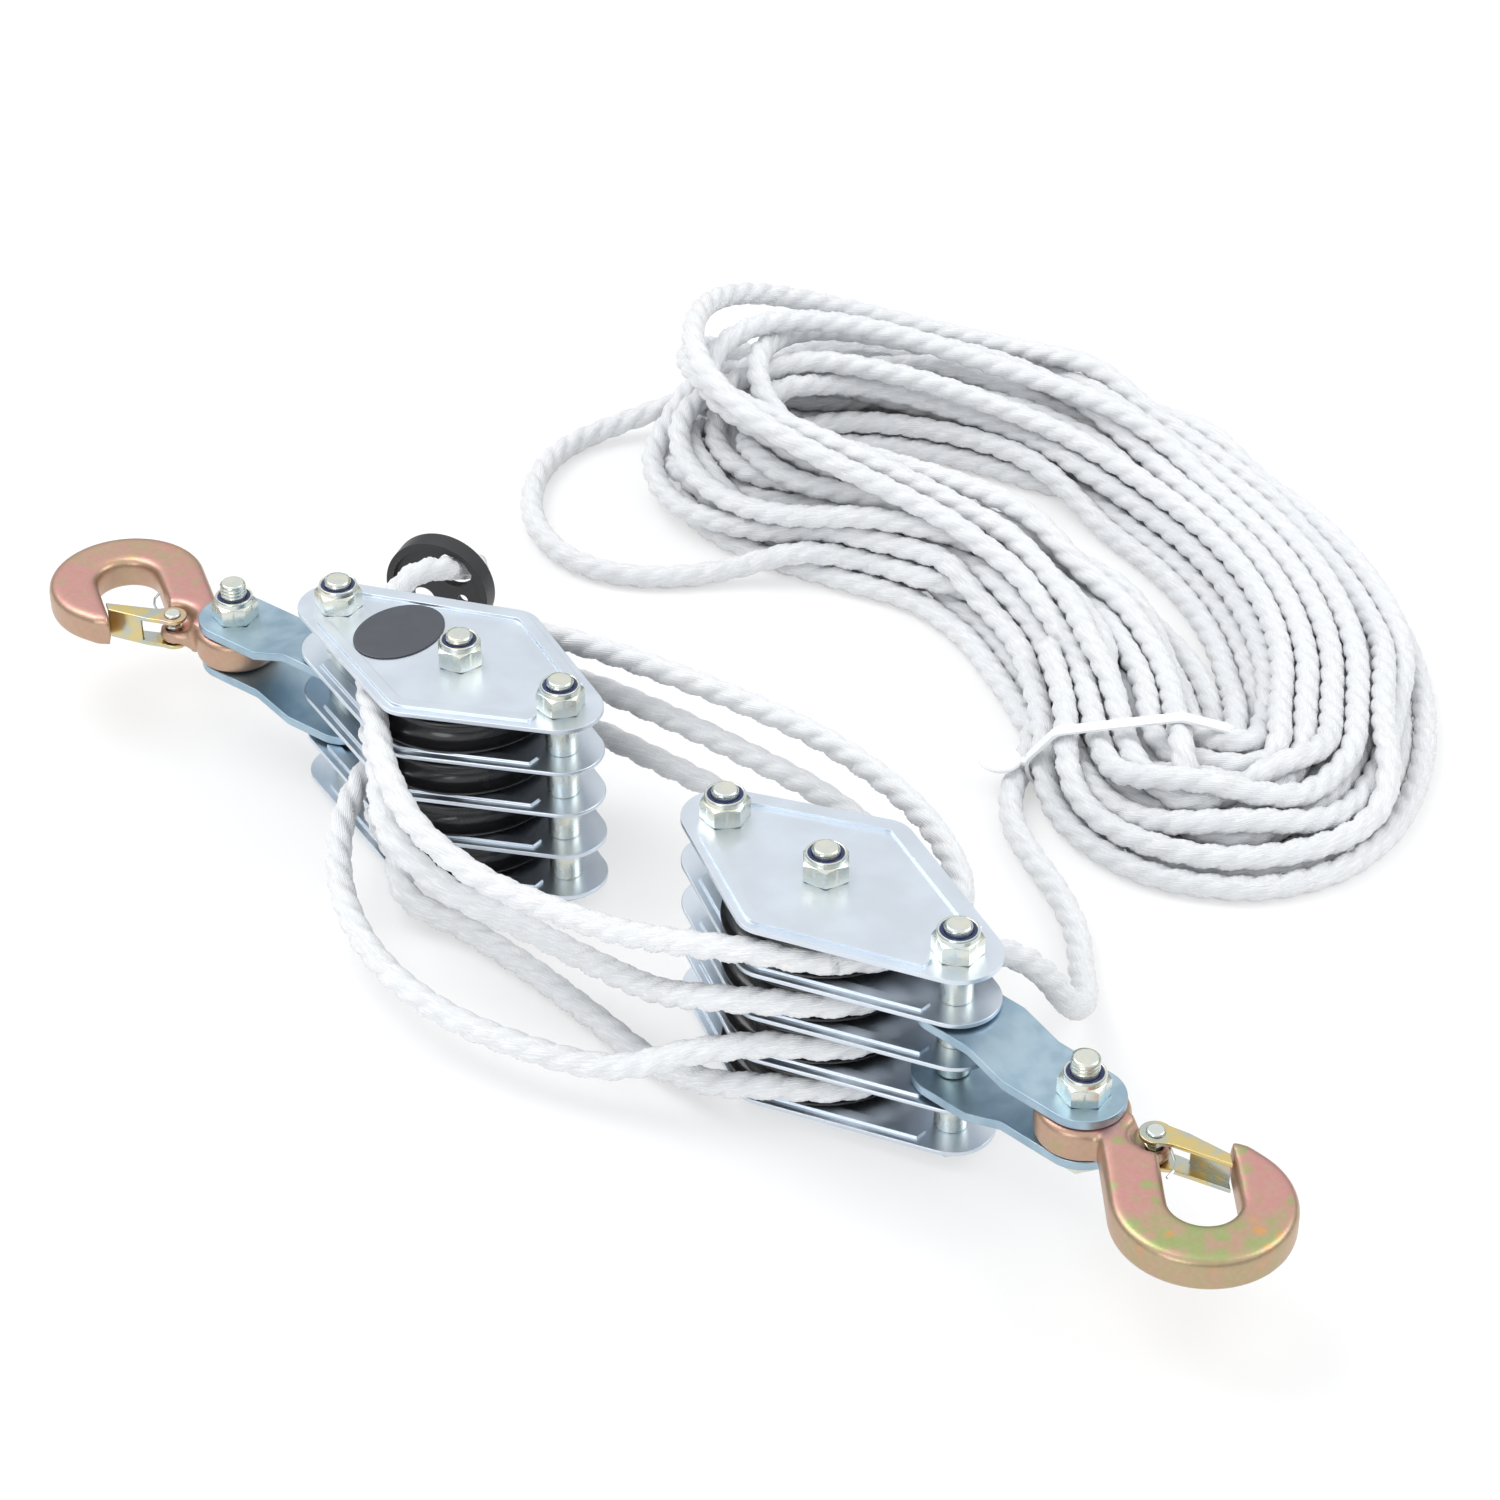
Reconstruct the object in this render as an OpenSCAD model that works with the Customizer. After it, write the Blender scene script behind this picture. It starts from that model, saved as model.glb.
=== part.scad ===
// Rope hoist: two four-sheave blocks with safety hooks, reeved seven times with one rope,
// whose spare length lies in a tied hank. The blocks stand on their bolt heads.
// X runs along the line between the blocks, Z is up, and Z = 0 is the surface below them.

/* [Blocks] */
// Distance between the two axles
axle_spacing = 153.8; // [152:0.1:158]
// How far the travelling block is turned away from the line between the blocks
travel_yaw = 6.7; // [4:0.1:9]
// Thickness of each side plate
plate_t = 1.5; // [1:0.1:2]
// Open height between two side plates
plate_gap = 14.1; // [13.9:0.1:15]
// Half width of a side plate at the axle
plate_half_w = 33; // [32.5:0.5:36]
// Radius of the plate's rounded ends
plate_end_r = 13; // [12:0.5:15]
// Radius of the plate's two side corners
plate_corner_r = 10; // [9:0.5:14]
// Distance from the axle to the bolt at the hook end
hook_end_x = 50; // [49:0.5:54]
// Distance from the axle to the bolt at the rope end
rope_end_x = 40; // [39:0.5:46]
// Width of the raised ribs on the plates
rib_w = 3.6; // [3:0.1:4.4]
// Height of the raised ribs
rib_h = 1; // [0.6:0.1:1.1]
// Distance from the plate's edge to the rib's outer side
rib_inset = 2.4; // [2:0.1:3]
// Distance that a rib stops short of each end bolt
rib_stop = 2; // [1:0.5:6]

/* [Sheaves] */
// Outer diameter of the sheaves
sheave_d = 60; // [58:0.5:62]
// Width of a sheave across its flanges
sheave_w = 11.4; // [11:0.1:11.6]
// Radius of the groove's root
groove_root_r = 24; // [23:0.25:25]
// Diameter of the sheave's hub face
sheave_hub_d = 20; // [16:0.5:26]
// Depth of the dished web on each side of the sheave
sheave_dish = 1; // [0.5:0.1:1.8]

/* [Bolts] */
// Diameter of all bolts
bolt_d = 8; // [7.6:0.1:8.4]
// Width of bolt heads and nuts across their flats
hex_af = 13; // [12.5:0.1:13.5]
// Height of a bolt head
head_h = 5.5; // [5:0.1:6.5]
// Height of a lock nut's hexagon
nut_hex_h = 6; // [5:0.1:7]
// Height of a lock nut's round collar
nut_collar_h = 2; // [1.6:0.1:2.6]
// Length of thread that stands out of the block nuts
stud_out = 1.8; // [1:0.1:4]
// Length of thread that stands out of the hook bolt's nut
hook_stud_out = 5; // [2:0.5:8]
// Outer diameter of the spacer tubes
spacer_d = 10; // [9.6:0.1:10.5]

/* [Straps] */
// Width of the bent straps
strap_w = 24; // [20:0.5:25]
// Thickness of the straps
strap_t = 3; // [2.5:0.1:3.5]
// Distance between a strap's two holes
strap_length = 47; // [45:0.5:52]
// Distance from the end bolt to the start of the strap's bend
strap_bend_start = 15; // [14:0.5:17]
// Length of the strap's sloping part
strap_bend_length = 13; // [12:0.5:14]

/* [Hooks] */
// Thickness of the forged hook
hook_t = 11; // [10:0.5:11.5]
// Diameter of the throat, which is the clear width inside the hook
throat_d = 19.5; // [18:0.5:20.5]
// Outer radius of the bowl
bowl_r = 25.5; // [24:0.5:26.5]
// Distance from the hook bolt to the centre of the bowl
bowl_x = 48; // [47:0.5:50]
// Outer radius of the eye
eye_r = 13.5; // [12.5:0.5:14]
// Direction in which the throat opens, from the line between eye and bowl
mouth_angle = 144; // [142:0.5:146]
// Radius of the hook's blunt tip
tip_r = 3.3; // [2.8:0.1:3.6]
// Height of the tip above the centre of the bowl
tip_rise = 18.5; // [17:0.5:19]
// Swivel of the fixed block's hook
fixed_hook_yaw = -8; // [-12:1:0]
// Swivel of the travelling block's hook
travel_hook_yaw = 2; // [-4:1:8]

/* [Latches] */
// Distance of the latch rivet above the centre of the bowl
rivet_rise = 26.5; // [26:0.5:28]
// Radius of the latch's ears
ear_r = 4.6; // [4:0.1:4.8]
// Thickness of the latch sheet
latch_t = 1.4; // [1:0.1:1.5]
// Clear width between the latch's ears
latch_inside = 7.8; // [7.7:0.1:8]
// Thickness of the hook's lug between the ears
lug_t = 4.2; // [3.8:0.1:4.3]
// Diameter of the latch rivet
rivet_d = 4; // [3.5:0.1:4.5]
// Angle of the closed latch below the square of the throat
latch_angle = 33; // [31:0.5:35]
// Diameter of the spring wire
wire_d = 0.8; // [0.7:0.05:0.85]

/* [Rope] */
// Diameter of the rope
rope_d = 8.5; // [8:0.1:8.6]
// Number of loops in one layer of the hank
hank_loops = 5; // [4:1:5]
// Number of layers in the hank
hank_layers = 4; // [2:2:4]
// Step from one loop of the hank to the next
hank_step = 9.7; // [9.7:0.1:10.2]
// Step from one layer of the hank to the next
hank_layer_step = 12; // [9.2:0.1:13]
// Radius of the hank's innermost fold, at its narrow end
hank_fold_r = 21; // [21:0.5:24]
// Extra half width of the hank at its wide end
hank_spread = 18; // [0:1:20]
// How far the hank's runs are drawn in at the waist
hank_waist = 5; // [2:0.5:6]
// Radius of the hank's curved middle, at its centre line
hank_bend_r = 158; // [156:1:170]
// Angle that the hank's middle turns through
hank_bend = 84; // [80:1:88]
// Length of the straight stretch after the hank's curved middle
hank_straight = 30; // [20:1:50]

/* [Stopper, label and tie] */
// Diameter of the rope stopper disc
disc_d = 37; // [36:0.5:38]
// Thickness of the rope stopper disc
disc_t = 7; // [6:0.5:8]
// Length of the oval label plate
label_l = 32; // [28:0.5:32.5]
// Width of the oval label plate
label_w = 25; // [20:0.5:25]
// Width of the hank's tie
tie_w = 4.5; // [3:0.5:6]
// Thickness of the hank's tie
tie_t = 1.3; // [1:0.1:1.6]

/* [Hidden] */
$fn = 64;
// Clearance of a running fit, on the radius
run_gap = 0.05;
// Clearance of a bolt in a fixed hole, on the radius
hole_gap = 0.1;
// Clearance between faces of pieces that move on each other
seat_gap = 0.3;
// Straight sides lie this far inside the round ends that they join, so that the two cross
side_sink = 0.002;

bolt_r = bolt_d / 2;
rope_r = rope_d / 2;
sheave_r = sheave_d / 2;
throat_r = throat_d / 2;
rivet_r = rivet_d / 2;
plate_pitch = plate_t + plate_gap;
hex_r = hex_af / 2 / cos(30);
nut_h = nut_hex_h + nut_collar_h;
block_top = head_h + 4 * plate_pitch + plate_t;
mid_z = head_h + 2 * plate_pitch + plate_t / 2;
groove_r = rope_r + 0.45;
turn_r = groove_root_r + seat_gap + rope_r;
strap_half_gap = hook_t / 2 + seat_gap;
strap_step = plate_pitch - plate_t / 2 - rib_h - seat_gap - strap_t - strap_half_gap;
insert_r = bolt_r + 1.5;
insert_h = 1.6;
disc_tilt = 24.3;
disc_at = [-171.5, 74];
disc_hole = [6, 27];
disc_hole_r = 6.4;
disc_web_t = 3;
label_t = 0.5;

// Furthest points of the two hooks along X, and of the travelling hook on the near side
hook_bolt_x = hook_end_x + strap_length;
travel_turn = travel_yaw + travel_hook_yaw;
fixed_tip = axle_spacing / 2 + hook_bolt_x + bowl_x * cos(fixed_hook_yaw) + bowl_r;
travel_tip = -axle_spacing / 2 - hook_bolt_x * cos(travel_yaw) - bowl_x * cos(travel_turn) - bowl_r;
near_side = -hook_bolt_x * sin(travel_yaw) - bowl_x * sin(travel_turn) - bowl_r;

// Height of the lower face of plate n, where plate 1 is the top one
function plate_z(n) = head_h + (5 - n) * plate_pitch;
// Height of the middle of gap n, where gap 1 is the top one
function gap_z(n) = plate_z(n + 1) + plate_t + plate_gap / 2;

// ---- Places -------------------------------------------------------------------------

// Places the origin below the middle of the two blocks and their hooks
module placed() {
    translate([-(fixed_tip + travel_tip) / 2, -(plate_half_w + near_side) / 2, 0]) children();
}

module at_fixed() {
    placed() translate([axle_spacing / 2, 0, 0]) children();
}

module at_travel() {
    placed() translate([-axle_spacing / 2, 0, 0]) rotate([0, 0, 180 + travel_yaw]) children();
}

// From a block's axle to its hook bolt, turned by the hook's swivel
module at_hook(yaw) {
    translate([hook_bolt_x, 0, mid_z]) rotate([0, 0, yaw]) children();
}

// From a hook's bolt to the middle of its bowl, with +Y out of the throat
module at_bowl() {
    translate([bowl_x, 0, 0]) rotate([0, 0, mouth_angle - 90]) children();
}

// From a bowl's middle to its latch rivet, with +X along the closed latch
module at_rivet() {
    translate([-throat_r, rivet_rise, 0]) rotate([0, 0, -latch_angle]) children();
}

// ---- Outlines -----------------------------------------------------------------------

// Angle of the outward normal of the straight side between two circles [x, y, r]
function side_turn(a, b) =
    atan2(b[1] - a[1], b[0] - a[0]) - 90 - asin((b[2] - a[2]) / norm([b[0] - a[0], b[1] - a[1]]));

// Points where that side touches the circles
function tangent_pair(a, b) =
    let (t = side_turn(a, b))
    let (ra = a[2] - side_sink, rb = b[2] - side_sink)
    [[a[0] + ra * cos(t), a[1] + ra * sin(t)], [b[0] + rb * cos(t), b[1] + rb * sin(t)]];

// Round-cornered outline around circles that are listed anticlockwise
module belt(circles) {
    n = len(circles);
    polygon([for (i = [0 : n - 1]) each tangent_pair(circles[i], circles[(i + 1) % n])]);
    for (c = circles) if (c[2] > 0) translate([c[0], c[1]]) circle(r = c[2]);
}

plate_circles = [
    [hook_end_x, 0, plate_end_r],
    [0, plate_half_w - plate_corner_r, plate_corner_r],
    [-rope_end_x, 0, plate_end_r],
    [0, plate_corner_r - plate_half_w, plate_corner_r]
];

// Angles of the outward normals of the outline's two straight sides that meet at a side corner
hook_side_turn = side_turn(plate_circles[0], plate_circles[1]);
rope_side_turn = side_turn(plate_circles[1], plate_circles[2]) + 360;

// Height of a straight side at x, where inset is its distance inside the plate's edge
function side_y(x, inset, turn) =
    plate_half_w - plate_corner_r + (plate_corner_r - inset - x * cos(turn)) / sin(turn);

// Line at a distance inside the plate's edge, from near the hook end to near the rope end
function rib_line(inset, stop) =
    let (r = plate_corner_r - inset, hook_x = hook_end_x - stop, rope_x = stop - rope_end_x)
    let (span = rope_side_turn - hook_side_turn, steps = 6)
    concat(
        [[hook_x, side_y(hook_x, inset, hook_side_turn)]],
        [for (i = [0 : steps]) let (a = hook_side_turn + span * i / steps)
            [r * cos(a), plate_half_w - plate_corner_r + r * sin(a)]],
        [[rope_x, side_y(rope_x, inset, rope_side_turn)]]);

// The two bent ribs, narrowed by trim on each side and at each end
module rib_outline(trim) {
    outer = rib_line(rib_inset + trim, rib_stop + trim);
    inner = rib_line(rib_inset + rib_w - trim, rib_stop + trim);
    rib = concat(outer, reversed(inner));
    polygon(rib);
    polygon([for (p = reversed(rib)) [p[0], -p[1]]]);
}

module hexagon(af, h) {
    cylinder(r = af / 2 / cos(30), h = h, $fn = 6);
}

// ---- Block --------------------------------------------------------------------------

// Side plate n of a block, a bent sheet with two pressed ribs
module plate(n) {
    pressed = rib_h - 0.2;
    color([0.78, 0.83, 0.88]) translate([0, 0, plate_z(n)]) difference() {
        union() {
            linear_extrude(plate_t) belt(plate_circles);
            translate([0, 0, plate_t]) linear_extrude(rib_h) rib_outline(0);
        }
        translate([0, 0, -1]) linear_extrude(1 + pressed) rib_outline(0.8);
        for (x = [-rope_end_x, 0, hook_end_x])
            translate([x, 0, -1]) cylinder(r = bolt_r + hole_gap, h = plate_t + rib_h + 2);
    }
}

// Grooved sheave in gap n, turned about the block's axle
module sheave(n) {
    half = sheave_w / 2;
    hub = plate_gap / 2 - seat_gap;
    bevel = 0.8;
    color([0.06, 0.06, 0.07]) translate([0, 0, gap_z(n)]) rotate_extrude() difference() {
        polygon([
            [bolt_r + run_gap, -hub], [sheave_hub_d / 2, -hub], [sheave_hub_d / 2, -half + sheave_dish],
            [groove_root_r - 3, -half + sheave_dish], [groove_root_r - 2, -half],
            [sheave_r - bevel, -half], [sheave_r, -half + bevel / 2],
            [sheave_r, half - bevel / 2], [sheave_r - bevel, half],
            [groove_root_r - 2, half], [groove_root_r - 3, half - sheave_dish],
            [sheave_hub_d / 2, half - sheave_dish], [sheave_hub_d / 2, hub], [bolt_r + run_gap, hub]
        ]);
        translate([groove_root_r + groove_r, 0]) circle(r = groove_r);
    }
}

// Bolt with its head under the block and its thread above the nut
module block_bolt(x) {
    chamfer = 0.6;
    top = block_top + nut_h + stud_out;
    color([0.8, 0.83, 0.82]) translate([x, 0, 0]) {
        hexagon(hex_af, head_h);
        cylinder(r = bolt_r, h = top - chamfer);
        translate([0, 0, top - chamfer]) cylinder(r1 = bolt_r, r2 = bolt_r - chamfer, h = chamfer);
    }
}

module end_bolts() {
    block_bolt(-rope_end_x);
    block_bolt(hook_end_x);
}

// Lock nut with a round collar that is open for its insert
module lock_nut(z) {
    collar_r = hex_af / 2 - 0.3;
    color([0.8, 0.84, 0.8]) translate([0, 0, z]) difference() {
        union() {
            hexagon(hex_af, nut_hex_h);
            cylinder(r = collar_r, h = nut_h);
        }
        translate([0, 0, -1]) cylinder(r = bolt_r + hole_gap, h = nut_h + 2);
        translate([0, 0, nut_h - insert_h]) cylinder(r = insert_r, h = insert_h + 1);
    }
}

// Nylon ring in the collar of a lock nut
module nut_insert(z) {
    color([0.1, 0.12, 0.3]) translate([0, 0, z + nut_h - insert_h]) difference() {
        cylinder(r = insert_r, h = insert_h - 0.3);
        translate([0, 0, -1]) cylinder(r = bolt_r + run_gap, h = insert_h + 2);
    }
}

module block_nuts() {
    for (x = [-rope_end_x, 0, hook_end_x]) translate([x, 0, 0]) lock_nut(block_top);
}

module block_inserts() {
    for (x = [-rope_end_x, 0, hook_end_x]) translate([x, 0, 0]) nut_insert(block_top);
}

module spacer(z, h) {
    color([0.72, 0.78, 0.82]) translate([0, 0, z]) difference() {
        cylinder(r = spacer_d / 2, h = h);
        translate([0, 0, -1]) cylinder(r = bolt_r + hole_gap, h = h + 2);
    }
}

// Full spacers in all four gaps at the rope end
module rope_end_spacers() {
    for (n = [1 : 4]) translate([-rope_end_x, 0, 0]) spacer(plate_z(n + 1) + plate_t, plate_gap);
}

// Spacers at the hook end, where the two middle ones leave room for the straps
module hook_end_spacers() {
    short = plate_gap - strap_t - rib_h - 2 * seat_gap;
    translate([hook_end_x, 0, 0]) {
        spacer(plate_z(2) + plate_t, plate_gap);
        spacer(plate_z(3) + plate_t, short);
        spacer(plate_z(3) - short, short);
        spacer(plate_z(5) + plate_t, plate_gap);
    }
}

// ---- Straps and hook bolt -----------------------------------------------------------

// Bent strap from the end bolt to the hook bolt; side is 1 for the upper, -1 for the lower
module strap(side) {
    inner = strap_half_gap;
    far = strap_half_gap + strap_step;
    x1 = strap_bend_start;
    x2 = x1 + strap_bend_length;
    reach = strap_length + strap_w;
    color([0.7, 0.8, 0.88]) translate([hook_end_x, 0, mid_z]) rotate([side > 0 ? 0 : 180, 0, 0])
        difference() {
            intersection() {
                rotate([90, 0, 0]) linear_extrude(strap_w + 2, center = true) polygon([
                    [-strap_w, far], [x1, far], [x2, inner], [reach, inner],
                    [reach, inner + strap_t], [x2, inner + strap_t], [x1, far + strap_t],
                    [-strap_w, far + strap_t]
                ]);
                linear_extrude(far + strap_t + 1)
                    belt([[0, 0, strap_w / 2], [strap_length, 0, strap_w / 2]]);
            }
            cylinder(r = bolt_r + run_gap, h = far + strap_t + 1);
            translate([strap_length, 0, 0]) cylinder(r = bolt_r + hole_gap, h = far + strap_t + 1);
        }
}

// Hook bolt through both straps and the hook's eye
module hook_bolt() {
    chamfer = 0.6;
    low = mid_z - strap_half_gap - strap_t;
    top = mid_z + strap_half_gap + strap_t + nut_h + hook_stud_out;
    color([0.75, 0.82, 0.88]) translate([hook_bolt_x, 0, 0]) {
        translate([0, 0, low - head_h]) hexagon(hex_af, head_h);
        translate([0, 0, low - head_h]) cylinder(r = bolt_r, h = top - chamfer - low + head_h);
        translate([0, 0, top - chamfer]) cylinder(r1 = bolt_r, r2 = bolt_r - chamfer, h = chamfer);
    }
}

module hook_nut() {
    translate([hook_bolt_x, 0, 0]) lock_nut(mid_z + strap_half_gap + strap_t);
}

module hook_nut_insert() {
    translate([hook_bolt_x, 0, 0]) nut_insert(mid_z + strap_half_gap + strap_t);
}

// ---- Hook and latch -----------------------------------------------------------------

// The eye's centre and the rivet's, seen from the middle of the bowl
eye_at = [-bowl_x * cos(mouth_angle - 90), bowl_x * sin(mouth_angle - 90)];
rivet_at = [-throat_r, rivet_rise];
pocket_r = ear_r + 2.2;
// The lug is nearer to the lower ear, and the spring lies above it
lug_low = seat_gap - latch_inside / 2;
lug_high = lug_low + lug_t;
shank_top = 20;

// Plan of the hook around its bowl, before the eye's bore and the latch pocket
module hook_outline() {
    difference() {
        union() {
            belt([[0, 0, bowl_r], [throat_r + tip_r + 0.1, tip_rise, tip_r]]);
            polygon([
                [-bowl_r, 0], [-throat_r, 0], [-throat_r, shank_top],
                [rivet_at[0], rivet_at[1] - pocket_r], eye_at + [eye_r, 0] * 0.9,
                eye_at - [eye_r, 0] * 0.2, [-bowl_r, eye_at[1] - eye_r]
            ]);
        }
        circle(r = throat_r);
        translate([-throat_r, 0]) square([throat_d, bowl_r * 2]);
    }
    translate(eye_at) circle(r = eye_r);
}

// Forged eye hook, with pockets beside the thin lug that carries the latch
module hook(yaw) {
    color([0.75, 0.62, 0.4]) at_hook(yaw) at_bowl() difference() {
        union() {
            difference() {
                translate([0, 0, -hook_t / 2]) linear_extrude(hook_t) hook_outline();
                for (z = [lug_high, lug_low - hook_t]) translate([rivet_at[0], rivet_at[1], z])
                    cylinder(r = pocket_r, h = hook_t);
            }
            translate([0, 0, lug_low]) linear_extrude(lug_t)
                belt([[rivet_at[0], rivet_at[1], ear_r], [eye_at[0] + 6, eye_at[1] - 6, ear_r]]);
        }
        translate([eye_at[0], eye_at[1], -hook_t])
            cylinder(r = bolt_r + run_gap, h = hook_t * 2);
        translate([rivet_at[0], rivet_at[1], -hook_t])
            cylinder(r = rivet_r + hole_gap, h = hook_t * 2);
    }
}

// Distance along the closed latch from its rivet to the tip's inner wall
latch_reach = throat_d / cos(latch_angle);
// The latch's depth at its ears and at its end
latch_back = 4.2;
latch_front = 2.2;
latch_high = 2.4;
latch_low = 1.2;
web_start = 8;

// One flange of the latch, from the rivet to the hook's tip
module latch_flange() {
    end_x = latch_reach - seat_gap / cos(latch_angle);
    slant = tan(latch_angle);
    difference() {
        union() {
            circle(r = ear_r);
            polygon([
                [0, latch_back], [web_start, latch_back], [end_x - latch_high * slant, latch_high],
                [end_x + latch_low * slant, -latch_low], [6, -latch_front], [1.5, -latch_back]
            ]);
        }
        circle(r = rivet_r + run_gap);
    }
}

// Folded sheet latch: two flanges joined by a web on the outer side
module latch(yaw) {
    half = latch_inside / 2;
    web_slope = atan2(latch_back - latch_high, latch_reach - web_start);
    color([0.8, 0.7, 0.35]) at_hook(yaw) at_bowl() at_rivet() {
        for (z = [half, -half - latch_t])
            translate([0, 0, z]) linear_extrude(latch_t) latch_flange();
        translate([0, 0, -half - latch_t / 2]) linear_extrude(latch_inside + latch_t)
            intersection() {
                latch_flange();
                translate([web_start + 1, 0]) rotate([0, 0, -web_slope])
                    translate([0, latch_back - 1.5]) square([latch_reach, 3]);
            }
    }
}

// Rivet through the hook's lug and both ears
module latch_rivet(yaw) {
    half = latch_inside / 2 + latch_t + 0.1;
    dome = 0.8;
    color([0.85, 0.87, 0.88]) at_hook(yaw) at_bowl() at_rivet() {
        cylinder(r = rivet_r, h = 2 * half, center = true);
        for (turn = [0, 180]) rotate([turn, 0, 0]) translate([0, 0, half])
            cylinder(r1 = rivet_r + 0.9, r2 = rivet_r + 0.4, h = dome);
    }
}

// Torsion spring round the rivet above the lug, with one leg down the throat's side
coil_turns = 1.75;
coil_r = rivet_r + wire_d / 2 + 0.35;
coil_low = lug_high + wire_d / 2 + 0.1;
coil_high = latch_inside / 2 - wire_d / 2 - 0.1;
leg_points = [[0.4, -2.4], [0.9, -6], [1.3, -10], [0.4, -14], [-1.6, -16.5]];
module latch_spring(yaw) {
    steps = coil_turns * 8;
    rise = coil_high - coil_low;
    coil = [for (i = [0 : steps]) let (a = (steps - i) * 45)
        [coil_r * cos(a), coil_r * sin(a), coil_high - rise * (steps - i) / steps]];
    leg = [for (p = leg_points) [coil_r + p[0], p[1], coil_high]];
    echo(spring_gap_mm = rise / coil_turns - wire_d);
    color([0.85, 0.86, 0.88]) at_hook(yaw) at_bowl() translate([rivet_at[0], rivet_at[1], 0])
        tube(concat(coil, leg), wire_d / 2, 6);
}

// ---- Rope ---------------------------------------------------------------------------

function unit(v) = v / norm(v);

// Direction of a tube at point i of its route
function along(p, i) = unit(p[min(i + 1, len(p) - 1)] - p[max(i - 1, 0)]);

// One closed tube with straight sides between the rings at the route's points
module tube(p, r, sides) {
    n = len(p);
    turn = 180 / sides;
    rings = [for (i = [0 : n - 1])
        let (t = along(p, i), u = unit(cross(t, [0, 0, 1])), v = cross(u, t))
        for (k = [0 : sides - 1]) p[i] + r * (cos(360 * k / sides + turn) * u
            + sin(360 * k / sides + turn) * v)];
    walls = [for (i = [0 : n - 2]) for (k = [0 : sides - 1])
        let (a = i * sides + k, b = i * sides + (k + 1) % sides)
        each [[a, a + sides, b], [b, a + sides, b + sides]]];
    first = [for (k = [1 : sides - 2]) [0, k, k + 1]];
    last = [for (k = [1 : sides - 2]) let (a = (n - 1) * sides) [a, a + k + 1, a + k]];
    polyhedron(points = rings, faces = concat(walls, first, last), convexity = 12);
}

// Part of a turn round a sheave in gap n, between two angles from the hook's side
module rope_turn(n, from, to) {
    translate([0, 0, gap_z(n)]) rotate([0, 0, from])
        rotate_extrude(angle = to - from) translate([turn_r, 0]) circle(r = rope_r, $fn = 24);
}

// Angles at which the rope meets and leaves each sheave, near side first on the fixed block
fixed_turns = [[-60, -40], [-50, 15], [-50, 35], [-50, 40]];
travel_turns = [[-50, 50], [-50, 50], [-50, 20], [40, 60]];

module fixed_rope_turns() {
    color([0.95, 0.95, 0.95]) at_fixed()
        for (n = [1 : 4]) rope_turn(n, fixed_turns[n - 1][0], fixed_turns[n - 1][1]);
}

module travel_rope_turns() {
    color([0.95, 0.95, 0.95]) at_travel()
        for (n = [1 : 4]) rope_turn(n, travel_turns[n - 1][0], travel_turns[n - 1][1]);
}

// A turn's end and the point a lead's length further on; way is 1 where the angle goes on up
lead = 13;
function turn_end(a, way) = [
    [turn_r * cos(a), turn_r * sin(a)],
    [turn_r * cos(a) - way * lead * sin(a), turn_r * sin(a) + way * lead * cos(a)]
];
function on_fixed(n, a, way) =
    [for (p = turn_end(a, way)) [p[0] + axle_spacing / 2, p[1], gap_z(n)]];
function on_travel(n, a, way) = let (t = 180 + travel_yaw)
    [for (p = turn_end(a, way)) [p[0] * cos(t) - p[1] * sin(t) - axle_spacing / 2,
        p[0] * sin(t) + p[1] * cos(t), gap_z(n)]];
function reversed(p) = [for (i = [len(p) - 1 : -1 : 0]) p[i]];

// Slack strands on the near side, from the fixed to the travelling block, top gap first
near_routes = [
    [[61, -38, 57], [36, -41, 49], [9, -43, 43.5], [-18, -48, 44], [-44, -49, 50], [-65, -42, 57]],
    [[69, -38, 42], [47, -38, 32], [20, -36, 25], [-8, -39, 25], [-36, -45, 28], [-60, -46.5, 38.5]],
    [[69, -43, 25.5], [47, -57, 15], [18, -69, 14], [-12, -74, 14], [-42, -71, 16], [-69, -59, 20],
        [-87, -42, 26]],
    [[69, -38, 10.5], [46, -39, 5], [18, -37, 5], [-10, -35, 5], [-38, -35, 5], [-61, -40, 9]]
];
// Slack strands on the far side, from the travelling block down one gap to the fixed block
far_routes = [
    [[-72, 41, 59], [-46, 52, 56], [-18, 62, 52], [11, 68, 49], [40, 68, 46], [67, 60, 45], [90, 44, 45]],
    [[-70, 42, 44], [-42, 52, 40], [-13, 59, 36], [17, 63, 33], [47, 60, 30], [74, 47, 29]],
    [[-70, 41, 28], [-42, 49, 24], [-14, 55, 20], [15, 57, 16], [44, 53, 14], [70, 42, 14]]
];

module near_strands() {
    color([0.95, 0.95, 0.95]) for (n = [1 : 4])
        tube(concat(on_fixed(n, fixed_turns[n - 1][0], -1), near_routes[n - 1],
            reversed(on_travel(n, travel_turns[n - 1][1], 1))), rope_r, 8);
}

module far_strands() {
    color([0.95, 0.95, 0.95]) for (n = [1 : 3])
        tube(concat(on_travel(n, travel_turns[n - 1][0], -1), far_routes[n - 1],
            reversed(on_fixed(n + 1, fixed_turns[n][1], 1))), rope_r, 8);
}

// ---- Dead end and stopper -----------------------------------------------------------

// A point in the disc's own frame: across its face, out of its face, and height
function by_disc(across, out, z) = [
    disc_at[0] + across * cos(disc_tilt) + out * sin(disc_tilt),
    disc_at[1] + across * sin(disc_tilt) - out * cos(disc_tilt), z];

dead_end_route = [
    [9, 68, 14.5], [3, 54, 17], [-1, 46, 20.5], [-3.5, 38.5, 26], [-3.5, 31, 31.5], [-1, 22.5, 35],
    [2.5, 15, 34.6], [5, 8, 31.4], [6, 0, 27], [6.5, -8, 22.5], [7, -16, 18]
];

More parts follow.
